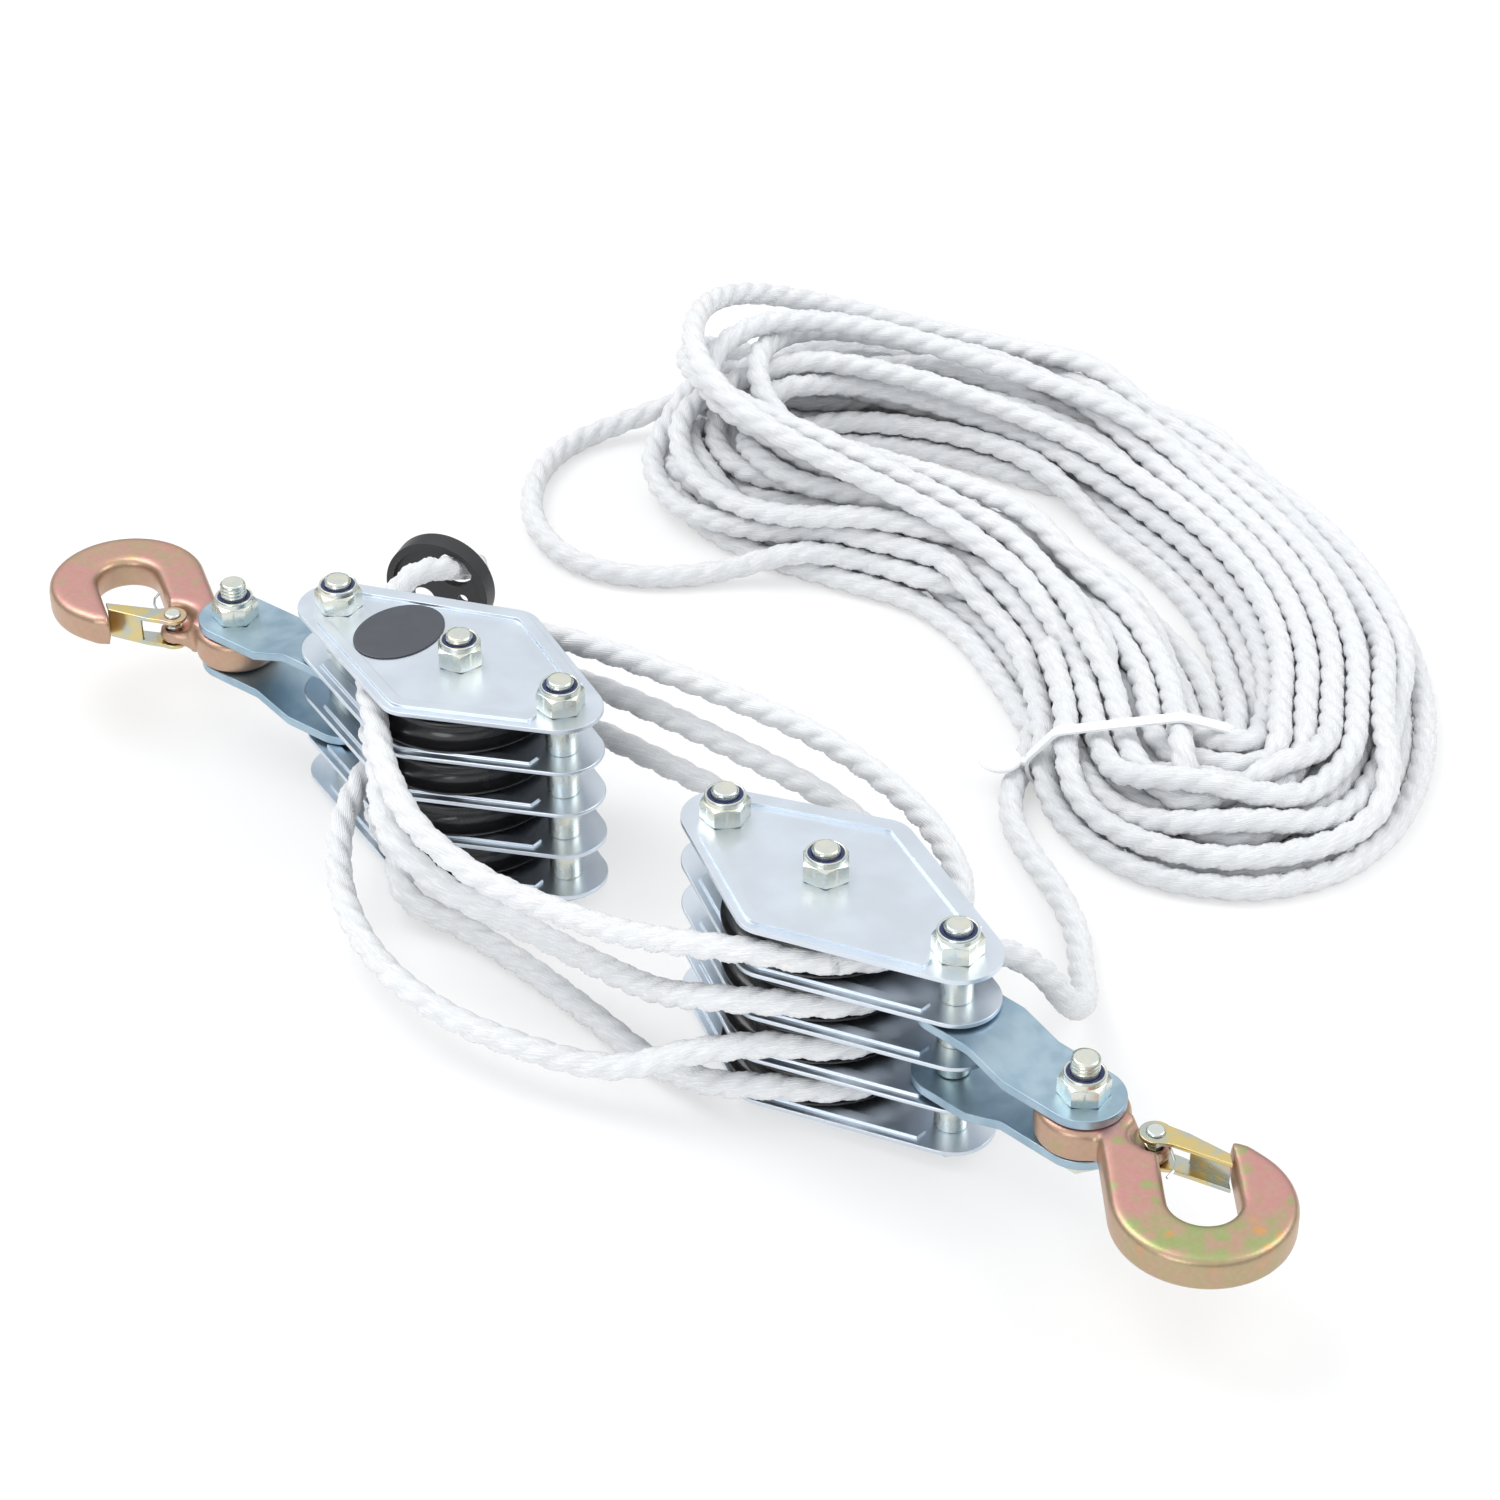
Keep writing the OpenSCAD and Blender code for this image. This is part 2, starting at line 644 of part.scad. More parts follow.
module dead_end_rope() {
    color([0.95, 0.95, 0.95])
        tube(concat(on_travel(4, travel_turns[3][0], -1),
            [for (p = dead_end_route) by_disc(p[0], p[1], p[2])]), rope_r, 8);
}

// Round stopper that stands on its rim: a web inside a hoop, with the rope through the web
module stopper_disc() {
    rim_w = 2.5;
    rim_r = disc_d / 2;
    color([0.1, 0.1, 0.11]) translate([disc_at[0], disc_at[1], 0]) rotate([0, 0, disc_tilt])
        rotate([90, 0, 0]) difference() {
            translate([0, rim_r, 0]) cylinder(r = rim_r, h = disc_t, center = true);
            for (z = [disc_web_t / 2, -disc_web_t / 2 - disc_t]) translate([0, rim_r, z])
                cylinder(r = rim_r - rim_w, h = disc_t);
            translate([disc_hole[0], disc_hole[1], 0])
                cylinder(r = disc_hole_r, h = disc_t, center = true);
            translate([disc_hole[0] + 2.5, disc_hole[1] - 11.5, 0])
                cylinder(r = 2, h = disc_t, center = true);
            translate([-disc_hole[0], disc_hole[1] - 14, 0])
                cylinder(r = rope_r, h = disc_t, center = true);
        }
}

// Plain oval plate between two nuts of the travelling block
module label_plate() {
    edge_points = 60;
    step = 360 / edge_points;
    color([0.2, 0.22, 0.27]) translate([hook_end_x / 2, 0, block_top + 0.05])
        linear_extrude(label_t) polygon([for (a = [0 : step : 360 - step])
            [label_w / 2 * cos(a), label_l / 2 * sin(a)]]);
}

// ---- Hank ---------------------------------------------------------------------------

hank_at = [-201, 199];
hank_heading = 32;
hank_rings = 24;
hank_floor = 0.6;
fold_rings = 7;
near_rings = 3;
far_rings = 5;
near_share = 0.72;
hank_half = hank_fold_r + hank_step * hank_loops;
hank_arc = hank_bend_r * hank_bend * PI / 180;
hank_run = hank_arc + hank_straight;
hank_bend_from = hank_at + hank_half * [cos(hank_heading), sin(hank_heading)];
hank_centre = hank_bend_from + hank_bend_r * [sin(hank_heading), -cos(hank_heading)];

// A point s along the hank's bent centre line and c to its far side
function hank_place(s, c) =
    let (a = min(max(s - hank_half, 0), hank_arc) / hank_bend_r * 180 / PI, h = hank_heading - a)
    let (rest = s < hank_half ? s - hank_half : max(s - hank_half - hank_arc, 0))
    hank_centre + (hank_bend_r + c) * [-sin(h), cos(h)] + rest * [cos(h), sin(h)];

// Half width of the loop at turn u: the loops spiral in on even layers and out on odd ones
function hank_radius(u) =
    let (layer = min(floor(u / hank_loops), hank_layers - 1), q = u - layer * hank_loops)
    hank_fold_r + hank_step * (layer % 2 == 0 ? hank_loops - q : q);

// Height at turn u: the climb to the next layer takes half a turn, along the near run
function hank_height(u) =
    let (next = round(u / hank_loops), d = u - next * hank_loops)
    let (climbs = next > 0 && next < hank_layers && abs(d) < 0.25)
    let (layer = climbs ? next - 0.5 + 2 * d : min(floor(u / hank_loops), hank_layers - 1))
    rope_r + hank_floor + hank_layer_step * layer;

// Place in the loop's plan [s, c] of ring t out of hank_rings, for a loop of half width h
function hank_plan(t, h) =
    let (left = near_rings, far = left + fold_rings, right = far + far_rings)
    let (back = right + fold_rings, run = hank_run, f = fold_rings, wide = h + hank_spread)
    t < left ? [hank_half + run * near_share * (1 - t / left), -h]
    : t < far + 0.5 ? let (a = -90 - 180 * (t - left) / f) [hank_half + wide * cos(a), wide * sin(a)]
    : t < right ? [hank_half + run * (t - far) / far_rings, h]
    : t < back ? let (a = 90 - 180 * (t - right) / f) [hank_half + run + h * cos(a), h * sin(a)]
    : [hank_half + run - run * (1 - near_share) * (t - back) / (hank_rings - back), -h];

// A run at share x of its length is drawn in at the waist and spreads towards the wide end
function hank_run_draw(x) = hank_waist * pow(sin(180 * x), 2) - hank_spread * (1 - x);
function hank_point(u) =
    let (p = hank_plan((u - floor(u)) * hank_rings, hank_radius(u)))
    let (x = min((p[0] - hank_half) / hank_run, 1))
    let (draw = x > 0.01 ? hank_run_draw(x) : 0)
    let (q = hank_place(p[0], p[1] - draw * sign(p[1])))
    [q[0], q[1], hank_height(u)];

// The hank starts with a straight stub that lies beside the loop's own next turn
hank_rounds = [for (i = [0 : hank_rings * hank_loops * hank_layers]) hank_point(i / hank_rings)];
hank_stub = rope_d * unit(hank_rounds[hank_rings] - hank_rounds[hank_rings - 1]);
hank_route = concat([hank_rounds[0] - hank_stub], hank_rounds);

// Distance from point p to the stretch from a to b
function stretch_gap(p, a, b) =
    let (d = b - a, k = min(max((p - a) * d / (d * d), 0), 1)) norm(a + k * d - p);

// Least gap between the hank's turns, taken on the rings more than half a loop apart
function hank_gap() = min([for (i = [0 : len(hank_route) - 1])
    for (j = [i + floor(hank_rings / 2) : len(hank_route) - 2])
        if (norm(hank_route[i] - hank_route[j]) < 60)
            stretch_gap(hank_route[i], hank_route[j], hank_route[j + 1])]) - rope_d;

module rope_hank() {
    echo(hank_gap_mm = hank_gap());
    color([0.96, 0.96, 0.96]) tube(hank_route, rope_r, 6);
}

// Hauling part from the top sheave down to the surface and on to the hank
tail_route = [
    [115, 1, 60.6], [123.5, 11, 60.4], [129, 20, 58], [132, 30, 49], [132, 39, 36], [126, 53, 19],
    [113, 70, 8.5], [95, 81, 4.6], [74, 87, 4.6], [53, 92, 4.6], [34, 102, 4.6], [21, 118, 4.6],
    [14, 135, 4.6], [10.5, 149, 4.6]
];

module hauling_tail() {
    color([0.95, 0.95, 0.95])
        tube(concat(on_fixed(1, fixed_turns[0][1], 1), tail_route,
            [hank_route[0] - hank_stub, hank_route[0]]), rope_r, 8);
}

// ---- Tie ----------------------------------------------------------------------------

// Place of the tie along the hank's near run, as a share of the hank's bent middle
tie_share = 1;
tie_at = hank_half + hank_run * tie_share;
tie_draw = hank_run_draw(tie_share);
tie_low = 0.3;
tie_inner = -hank_fold_r + tie_draw + rope_r + 0.5;
tie_outer = -hank_half + tie_draw - rope_r - 0.5;
tie_top = 2 * rope_r + hank_floor + hank_layer_step * (hank_layers - 1) + 0.4;

// Flat loop round the near run's cords, with a round tab at its end
module hank_tie() {
    heading = hank_heading - min(tie_at - hank_half, hank_arc) / hank_bend_r * 180 / PI;
    middle = hank_place(tie_at, (tie_inner + tie_outer) / 2);
    inside_w = tie_inner - tie_outer;
    inside_h = tie_top - tie_low;
    tab_r = 7;
    color([0.92, 0.93, 0.94]) translate([middle[0], middle[1], 0]) rotate([0, 0, heading]) {
        rotate([90, 0, 90]) linear_extrude(tie_w, center = true) difference() {
            translate([-inside_w / 2 - tie_t, 0]) square([inside_w + 2 * tie_t, tie_top + tie_t]);
            translate([-inside_w / 2, tie_low]) square([inside_w, inside_h]);
        }
        translate([0, -inside_w / 2 - tie_t - tab_r + 1, tie_top / 2]) cylinder(r = tab_r, h = 2);
    }
}

// ---- Assembly -----------------------------------------------------------------------

at_fixed() plate(1);  // fixed_plate_1
at_fixed() plate(2);  // fixed_plate_2
at_fixed() plate(3);  // fixed_plate_3
at_fixed() plate(4);  // fixed_plate_4
at_fixed() plate(5);  // fixed_plate_5
at_fixed() sheave(1);  // fixed_sheave_1
at_fixed() sheave(2);  // fixed_sheave_2
at_fixed() sheave(3);  // fixed_sheave_3
at_fixed() sheave(4);  // fixed_sheave_4
at_fixed() block_bolt(0);  // fixed_axle_bolt
at_fixed() end_bolts();  // fixed_end_bolts
at_fixed() hook_end_spacers();  // fixed_hook_end_spacers
at_fixed() rope_end_spacers();  // fixed_rope_end_spacers
at_fixed() block_nuts();  // fixed_lock_nuts
at_fixed() block_inserts();  // fixed_nut_inserts
at_fixed() strap(1);  // fixed_upper_strap
at_fixed() strap(-1);  // fixed_lower_strap
at_fixed() hook_bolt();  // fixed_hook_bolt
at_fixed() hook_nut();  // fixed_hook_nut
at_fixed() hook_nut_insert();  // fixed_hook_nut_insert
at_fixed() hook(fixed_hook_yaw);  // fixed_hook
at_fixed() latch(fixed_hook_yaw);  // fixed_latch
at_fixed() latch_rivet(fixed_hook_yaw);  // fixed_latch_rivet
at_fixed() latch_spring(fixed_hook_yaw);  // fixed_latch_spring
fixed_rope_turns();
at_travel() plate(1);  // travel_plate_1
at_travel() plate(2);  // travel_plate_2
at_travel() plate(3);  // travel_plate_3
at_travel() plate(4);  // travel_plate_4
at_travel() plate(5);  // travel_plate_5
at_travel() sheave(1);  // travel_sheave_1
at_travel() sheave(2);  // travel_sheave_2
at_travel() sheave(3);  // travel_sheave_3
at_travel() sheave(4);  // travel_sheave_4
at_travel() block_bolt(0);  // travel_axle_bolt
at_travel() end_bolts();  // travel_end_bolts
at_travel() hook_end_spacers();  // travel_hook_end_spacers
at_travel() rope_end_spacers();  // travel_rope_end_spacers
at_travel() block_nuts();  // travel_lock_nuts
at_travel() block_inserts();  // travel_nut_inserts
at_travel() strap(1);  // travel_upper_strap
at_travel() strap(-1);  // travel_lower_strap
at_travel() hook_bolt();  // travel_hook_bolt
at_travel() hook_nut();  // travel_hook_nut
at_travel() hook_nut_insert();  // travel_hook_nut_insert
at_travel() hook(travel_hook_yaw);  // travel_hook
at_travel() latch(travel_hook_yaw);  // travel_latch
at_travel() latch_rivet(travel_hook_yaw);  // travel_latch_rivet
at_travel() latch_spring(travel_hook_yaw);  // travel_latch_spring
travel_rope_turns();
at_travel() label_plate();
placed() stopper_disc();
placed() near_strands();
placed() far_strands();
placed() dead_end_rope();
placed() hauling_tail();
placed() rope_hank();
placed() hank_tie();
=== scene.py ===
import math

import bpy
import numpy as np
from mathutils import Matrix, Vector


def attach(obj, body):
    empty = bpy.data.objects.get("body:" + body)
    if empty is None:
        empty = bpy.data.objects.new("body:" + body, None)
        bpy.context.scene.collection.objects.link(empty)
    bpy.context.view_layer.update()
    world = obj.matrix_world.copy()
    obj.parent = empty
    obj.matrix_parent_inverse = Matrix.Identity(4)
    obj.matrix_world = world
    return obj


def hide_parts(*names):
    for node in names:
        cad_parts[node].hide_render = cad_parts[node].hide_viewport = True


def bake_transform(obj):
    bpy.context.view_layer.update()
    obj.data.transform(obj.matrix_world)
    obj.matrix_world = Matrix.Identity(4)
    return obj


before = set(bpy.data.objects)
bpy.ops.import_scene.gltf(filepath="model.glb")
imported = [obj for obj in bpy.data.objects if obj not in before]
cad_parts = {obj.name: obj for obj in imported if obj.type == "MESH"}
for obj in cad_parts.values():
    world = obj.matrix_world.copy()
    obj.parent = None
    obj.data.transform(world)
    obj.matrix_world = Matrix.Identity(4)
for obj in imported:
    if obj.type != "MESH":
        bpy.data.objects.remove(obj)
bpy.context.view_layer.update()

bl_info = {
    "name": "Rope Hoist",
    "version": (1, 0, 0),
    "blender": (4, 5, 0),
    "location": "View3D > Sidebar > Rope Hoist",
    "description": "Dresses a rope hoist: zinc blocks, safety hooks, laid rope and its tied hank",
    "category": "Object",
}

MM = 0.001
# Shift from the drawing's axes to the frame, in millimetres
SHIFT = np.array([-0.374, 5.539, 0.0])

# Blocks, in millimetres
BLOCKS = ("fixed", "travel")
BODY = {"fixed": "fixed_block", "travel": "travelling_block"}
HALF_SPAN = 76.9
TRAVEL_HEADING = math.radians(186.7)
GAP_Z = (60.85, 45.25, 29.65, 14.05)
BLOCK_TOP, STRAP_TOP = 69.4, 46.25
HOOK_BOLT_X = 97.0
BOLT_XS = (-40.0, 0.0, 50.0)

# Rope: radius of its turns on the sheaves, straight part beyond a turn, and steps of its lines
TURN_R, LEAD = 28.55, 13.0
ROPE_STEP, HAUL_STEP, SETTLE_STEP = 2.4, 2.6, 5.0

# Vertices of the CAD's meshes that are closer than this are joined before edges are rounded
JOIN = 0.000002
WHITE = (1.0, 1.0, 1.0)


def in_frame(points):
    """Points in metres in the frame, from millimetres on the drawing's axes."""
    return (points + SHIFT) * MM


# ---- Settings ----

class RopeSettings(bpy.types.PropertyGroup):
    diameter: bpy.props.FloatProperty(
        name="Rope diameter", description="Diameter of the laid rope",
        default=0.0085, unit="LENGTH")
    pitch: bpy.props.FloatProperty(
        name="Lay length", description="Length in which a strand goes once round the rope",
        default=0.027, unit="LENGTH")
    strand_share: bpy.props.FloatProperty(
        name="Strand radius", description="Radius of one strand as a share of the rope's radius",
        default=0.68, subtype="FACTOR")
    looseness: bpy.props.FloatProperty(
        name="Hank looseness", description="How far the hank's loops stray from their lanes",
        default=0.007, unit="LENGTH")
    colour: bpy.props.FloatVectorProperty(
        name="Rope colour", description="Colour of the rope's filaments",
        default=(0.86, 0.87, 0.885), subtype="COLOR")


class MetalSettings(bpy.types.PropertyGroup):
    edge: bpy.props.FloatProperty(
        name="Edge radius", description="Rounding of the sheet metal's edges",
        default=0.0004, unit="LENGTH")
    plate_colour: bpy.props.FloatVectorProperty(
        name="Plate colour", description="Colour of the clear zinc plating",
        default=(0.67, 0.73, 0.80), subtype="COLOR")
    bolt_colour: bpy.props.FloatVectorProperty(
        name="Nut colour", description="Colour of the zinc plating on nuts and bolts",
        default=(0.68, 0.72, 0.68), subtype="COLOR")
    hook_pink: bpy.props.FloatVectorProperty(
        name="Hook pink", description="Pink of the yellow chromate on the hooks",
        default=(0.62, 0.27, 0.26), subtype="COLOR")
    hook_green: bpy.props.FloatVectorProperty(
        name="Hook green", description="Green of the yellow chromate on the hooks",
        default=(0.32, 0.43, 0.13), subtype="COLOR")


class StageSettings(bpy.types.PropertyGroup):
    lens: bpy.props.FloatProperty(
        name="Focal length", description="Focal length on a sensor 36 mm wide",
        default=92.35, min=1.0)
    key_power: bpy.props.FloatProperty(
        name="Key lamp", description="Power of the large soft lamp above", default=12.0,
        unit="POWER")
    fill_power: bpy.props.FloatProperty(
        name="Fill lamp", description="Power of the soft lamp at the side", default=6.0,
        unit="POWER")
    room_light: bpy.props.FloatProperty(
        name="Room light", description="Strength of the even light from all round", default=0.85)


# ---- Shader maths ----

class Soc:
    """A shader socket that takes Python's operators."""

    def __init__(self, graph, socket):
        self.graph = graph
        self.socket = socket

    def maths(self, kind, *values):
        return self.graph.add("ShaderNodeMath", {"operation": kind}, values)

    def capped(self):
        """The value, cut off at 1."""
        return self.maths("MINIMUM", self, 1.0)

    def __add__(self, other):
        return self.maths("ADD", self, other)

    __radd__ = __add__

    def __mul__(self, other):
        return self.maths("MULTIPLY", self, other)

    __rmul__ = __mul__

    def __sub__(self, other):
        return self.maths("SUBTRACT", self, other)

    def __rsub__(self, other):
        return self.maths("SUBTRACT", other, self)

    def step(self, low, high):
        """0 below low, 1 above high, and smooth between them."""
        return self.graph.add(
            "ShaderNodeMapRange", {"interpolation_type": "SMOOTHSTEP"},
            {"Value": self, "From Min": low, "From Max": high})

    def sine(self):
        return self.maths("SINE", self)


class Graph:
    """A node tree, built from expressions on sockets."""

    def __init__(self, tree):
        self.tree = tree
        tree.nodes.clear()

    def feed(self, socket, value):
        if isinstance(value, Soc):
            self.tree.links.new(value.socket, socket)
        elif socket.type == "RGBA" and len(value) == 3:
            socket.default_value = (*value, 1.0)
        else:
            socket.default_value = value

    def add(self, kind, settings=None, sockets=(), out=0):
        """A new node with its settings and the values of its sockets, as one of its outputs."""
        node = self.tree.nodes.new(kind)
        for key, value in (settings or {}).items():
            setattr(node, key, value)
        items = sockets.items() if isinstance(sockets, dict) else enumerate(sockets)
        for key, value in items:
            self.feed(node.inputs[key], value)
        return Soc(self, node.outputs[out])

    def part(self, vector, name):
        return self.add("ShaderNodeSeparateXYZ", {}, {0: vector}, out=name)

    def mix(self, share, a, b):
        return self.add("ShaderNodeMix", {"data_type": "RGBA"}, {0: share, 6: a, 7: b}, out=2)

    def ray(self, kind):
        return self.add("ShaderNodeLightPath", out=f"Is {kind} Ray")

    def seen(self):
        """1 on rays from the camera, mirrored or let through, and 0 on all others."""
        return (self.ray("Camera") + self.ray("Glossy") + self.ray("Transmission")).capped()


class Finish(Graph):
    """A material, with its main shader and its output."""

    def __init__(self, name):
        self.material = bpy.data.materials.new(name)
        self.material.use_nodes = True
        super().__init__(self.material.node_tree)
        self.output = self.tree.nodes.new("ShaderNodeOutputMaterial")
        self.shader = self.tree.nodes.new("ShaderNodeBsdfPrincipled")
        self.tree.links.new(self.shader.outputs[0], self.output.inputs[0])

    def place(self):
        return self.add("ShaderNodeTexCoord", out="Object")

    def noise(self, scale, detail=2.0, roughness=0.5, vector=None):
        return self.add(
            "ShaderNodeTexNoise", {},
            {"Vector": vector or self.place(), "Scale": scale, "Detail": detail,
             "Roughness": roughness})

    def cells(self, scale, randomness=1.0):
        """Distance to the nearest of many scattered points."""
        return self.add(
            "ShaderNodeTexVoronoi", {},
            {"Vector": self.place(), "Scale": scale, "Randomness": randomness})

    def bump(self, height, distance, strength=1.0):
        return self.add(
            "ShaderNodeBump", {}, {"Strength": strength, "Distance": distance, "Height": height})

    def surface(self, **values):
        for key, value in values.items():
            self.feed(self.shader.inputs[key.replace("_", " ")], value)
        return self.material


def plate_zinc():
    f = Finish("plate_zinc")
    colour = tuple(bpy.context.scene.hoist_metal.plate_colour)
    cloud = f.noise(70.0, 3.0)
    grain = f.noise(900.0, 2.0)
    tone = f.mix(cloud.step(0.3, 0.75), colour, tuple(min(1, c * 1.09) for c in colour))
    return f.surface(
        Base_Color=tone, Metallic=1.0, Roughness=0.27 + 0.1 * cloud + 0.04 * grain,
        Normal=f.bump(cloud + grain * 0.3, 0.00005, 0.35))


def strap_zinc():
    f = Finish("strap_zinc")
    cloud = f.noise(110.0, 3.0)
    grain = f.noise(1300.0, 2.0)
    tone = f.mix(cloud.step(0.35, 0.7), (0.34, 0.47, 0.57), (0.45, 0.58, 0.67))
    return f.surface(
        Base_Color=tone, Metallic=1.0, Roughness=0.34 + 0.14 * cloud,
        Normal=f.bump(cloud + grain * 0.4, 0.00006, 0.4))


def bolt_zinc():
    f = Finish("bolt_zinc")
    colour = tuple(bpy.context.scene.hoist_metal.bolt_colour)
    cloud = f.noise(240.0, 2.0)
    tone = f.mix(cloud.step(0.35, 0.65), colour, (0.76, 0.76, 0.66))
    tone = f.mix(f.noise(90.0, 1.0).step(0.5, 0.7) * 0.5, tone, (0.62, 0.72, 0.78))
    return f.surface(
        Base_Color=tone, Metallic=1.0, Roughness=0.2 + 0.14 * cloud,
        Normal=f.bump(f.noise(1500.0, 2.0), 0.00003, 0.3))


def chromate(name, bowl, heading, green_share):
    """Yellow chromate over forged steel: pink with green spots, greener round the bowl."""
    f = Finish(name)
    metal = bpy.context.scene.hoist_metal
    pink, green = tuple(metal.hook_pink), tuple(metal.hook_green)
    x, y = f.part(f.place(), "X"), f.part(f.place(), "Y")
    along = (x - bowl[0]) * math.cos(heading) + (y - bowl[1]) * math.sin(heading)
    warp = f.noise(70.0, 2.0)
    face = f.part(f.add("ShaderNodeNewGeometry", out="Normal"), "Z").step(0.75, 0.97)
    spot = 1.0 - f.cells(165.0, 0.7).step(0.24, 0.44)
    belly = (along + (warp - 0.5) * 0.045).step(-0.002, 0.018)
    cloud = f.noise(170.0, 3.0).step(0.35, 0.65)
    greens = spot * (0.35 + 0.5 * cloud) + belly * (0.35 + 0.6 * cloud) + 0.15 * cloud
    tone = f.mix(greens.capped() * green_share, pink, green)
    dots = 1.0 - f.cells(120.0).step(0.12, 0.3)
    tone = f.mix(dots * belly * green_share, tone, (0.74, 0.33, 0.07))
    tone = f.mix((1.0 - face) * 0.75, tone, (0.47, 0.31, 0.19))
    grain = f.noise(1600.0, 3.0, 0.6)
    tone = f.mix(0.45 * f.noise(620.0, 3.0), tone, (0.60, 0.50, 0.40))
    return f.surface(
        Base_Color=tone, Metallic=0.85, Roughness=0.3 + 0.14 * grain,
        Normal=f.bump(grain + 0.6 * f.noise(300.0, 2.0), 0.0001, 0.5))


def latch_yellow():
    f = Finish("latch_yellow")
    cloud = f.noise(130.0, 2.0)
    band = f.noise(60.0, 1.0)
    tone = f.mix(cloud.step(0.38, 0.62), (0.70, 0.56, 0.24), (0.50, 0.54, 0.50))
    tone = f.mix(band.step(0.5, 0.62) * 0.55, tone, (0.66, 0.42, 0.36))
    return f.surface(
        Base_Color=tone, Metallic=1.0, Roughness=0.2 + 0.12 * cloud,
        Normal=f.bump(f.noise(1200.0, 2.0), 0.00004, 0.3))


def rope_white():
    """Filaments that lie nearly along the rope, on strands that wind round it."""
    f = Finish("rope_white")
    rope = bpy.context.scene.hoist_rope
    colour = tuple(rope.colour)
    uv = f.add("ShaderNodeUVMap", {"uv_map": "lay"})
    length = f.part(uv, "X")
    yarns, fibres, slant = 34.0, 96.0, 0.78
    angle = f.part(uv, "Y") + length * slant
    wobble = f.noise(330.0, 2.0)
    yarn = (angle * (yarns * 2 * math.pi) + wobble * 3.0).sine() * 0.5 + 0.5
    fibre = (angle * (fibres * 2 * math.pi) + wobble * 7.0).sine() * 0.5 + 0.5
    patch = f.noise(95.0, 2.0)
    lengthwise = f.add("ShaderNodeCombineXYZ", {}, {0: length * 5.0, 1: angle * yarns})
    fleck = f.noise(1.0, 2.0, vector=lengthwise).step(0.46, 0.62)
    tone = f.mix(fleck * 0.7, tuple(c * 0.95 for c in colour), (0.96, 0.96, 0.97))
    tone = f.mix(patch.step(0.35, 0.65) * 0.3, tone, (0.86, 0.89, 0.93))
    return f.surface(
        Base_Color=tone, Roughness=0.52 - 0.22 * fleck + 0.1 * patch,
        Normal=f.bump(yarn * 0.7 + fibre * 0.3, 0.00022, 0.75),
        Subsurface_Weight=0.3, Subsurface_Radius=(0.004, 0.004, 0.0042),
        Subsurface_Scale=0.5, Sheen_Weight=0.12)


def plain(name, cloud, colours, rough, grain=None, relief=None, **values):
    """One cloud between two colours and two roughnesses, with a relief of fine grain."""
    f = Finish(name)
    share = f.noise(*cloud)
    if relief:
        values["Normal"] = f.bump(f.noise(*grain) if grain else share, *relief)
    return f.surface(
        Base_Color=f.mix(share, *colours), Roughness=rough[0] + rough[1] * share, **values)


# Plain finishes: scale and detail of the cloud, two colours, roughness and what the cloud adds to
# it, scale and detail of the grain, depth and strength of the relief
PLAIN = {
    "nylon_navy": {
        "cloud": (500.0, 2.0), "colours": ((0.012, 0.02, 0.09), (0.02, 0.035, 0.14)),
        "rough": (0.35, 0.15), "relief": (0.00003, 0.3)},
    "sheave_black": {
        "cloud": (120.0, 3.0), "colours": ((0.010, 0.010, 0.011), (0.022, 0.022, 0.024)),
        "rough": (0.16, 0.16), "grain": (700.0, 2.0), "relief": (0.00003, 0.3),
        "Coat_Weight": 0.3},
    "disc_black": {
        "cloud": (150.0, 3.0), "colours": ((0.014, 0.014, 0.015), (0.03, 0.03, 0.032)),
        "rough": (0.33, 0.2), "grain": (1400.0, 3.0), "relief": (0.00008, 0.4)},
    "tie_clear": {
        "cloud": (160.0, 2.0), "colours": ((0.84, 0.86, 0.88), (0.92, 0.93, 0.94)),
        "rough": (0.26, 0.16), "relief": (0.00008, 0.3),
        "Subsurface_Weight": 0.2, "Subsurface_Radius": (0.003, 0.003, 0.003)},
    "label_slate": {
        "cloud": (180.0, 3.0), "colours": ((0.045, 0.05, 0.062), (0.07, 0.078, 0.095)),
        "rough": (0.34, 0.14), "grain": (1500.0, 2.0), "relief": (0.00002, 0.3)},
    "spring_steel": {
        "cloud": (800.0, 2.0), "colours": ((0.62, 0.64, 0.66), (0.78, 0.80, 0.82)),
        "rough": (0.16, 0.1), "Metallic": 1.0},
}
MAKERS = {
    "plate_zinc": plate_zinc,
    "strap_zinc": strap_zinc,
    "bolt_zinc": bolt_zinc,
    "latch_yellow": latch_yellow,
    "rope_white": rope_white,
    "fixed_hook": lambda: chromate("hook_spotted", (0.22106, -0.00114), math.radians(-44), 0.95),
    "travel_hook": lambda: chromate("hook_pink", (-0.22106, -0.01304), math.radians(142), 0.45),
}
FINISHES = {}


def finish(name):
    """The named material, made once."""
    if name not in FINISHES:
        FINISHES[name] = MAKERS[name]() if name in MAKERS else plain(name, **PLAIN[name])
    return FINISHES[name]


# ---- Meshes ----

def piece(name, verts, faces, look, uvs=None, smooth=True):
    """A piece from vertices in metres. look names its finish and slot, or is a material alone."""
    mesh = bpy.data.meshes.new(name)
    mesh.from_pydata([tuple(v) for v in verts], [], [tuple(f) for f in faces])
    mesh.validate()
    if uvs is not None:
        set_uvs(mesh, uvs)
    if smooth:
        smooth_faces(mesh)
    mesh.materials.append(finish(look) if isinstance(look, str) else look)
    mesh.update()
    obj = bpy.data.objects.new(name, mesh)
    bpy.context.scene.collection.objects.link(obj)
    return obj


def smooth_faces(mesh):
    mesh.polygons.foreach_set("use_smooth", [True] * len(mesh.polygons))


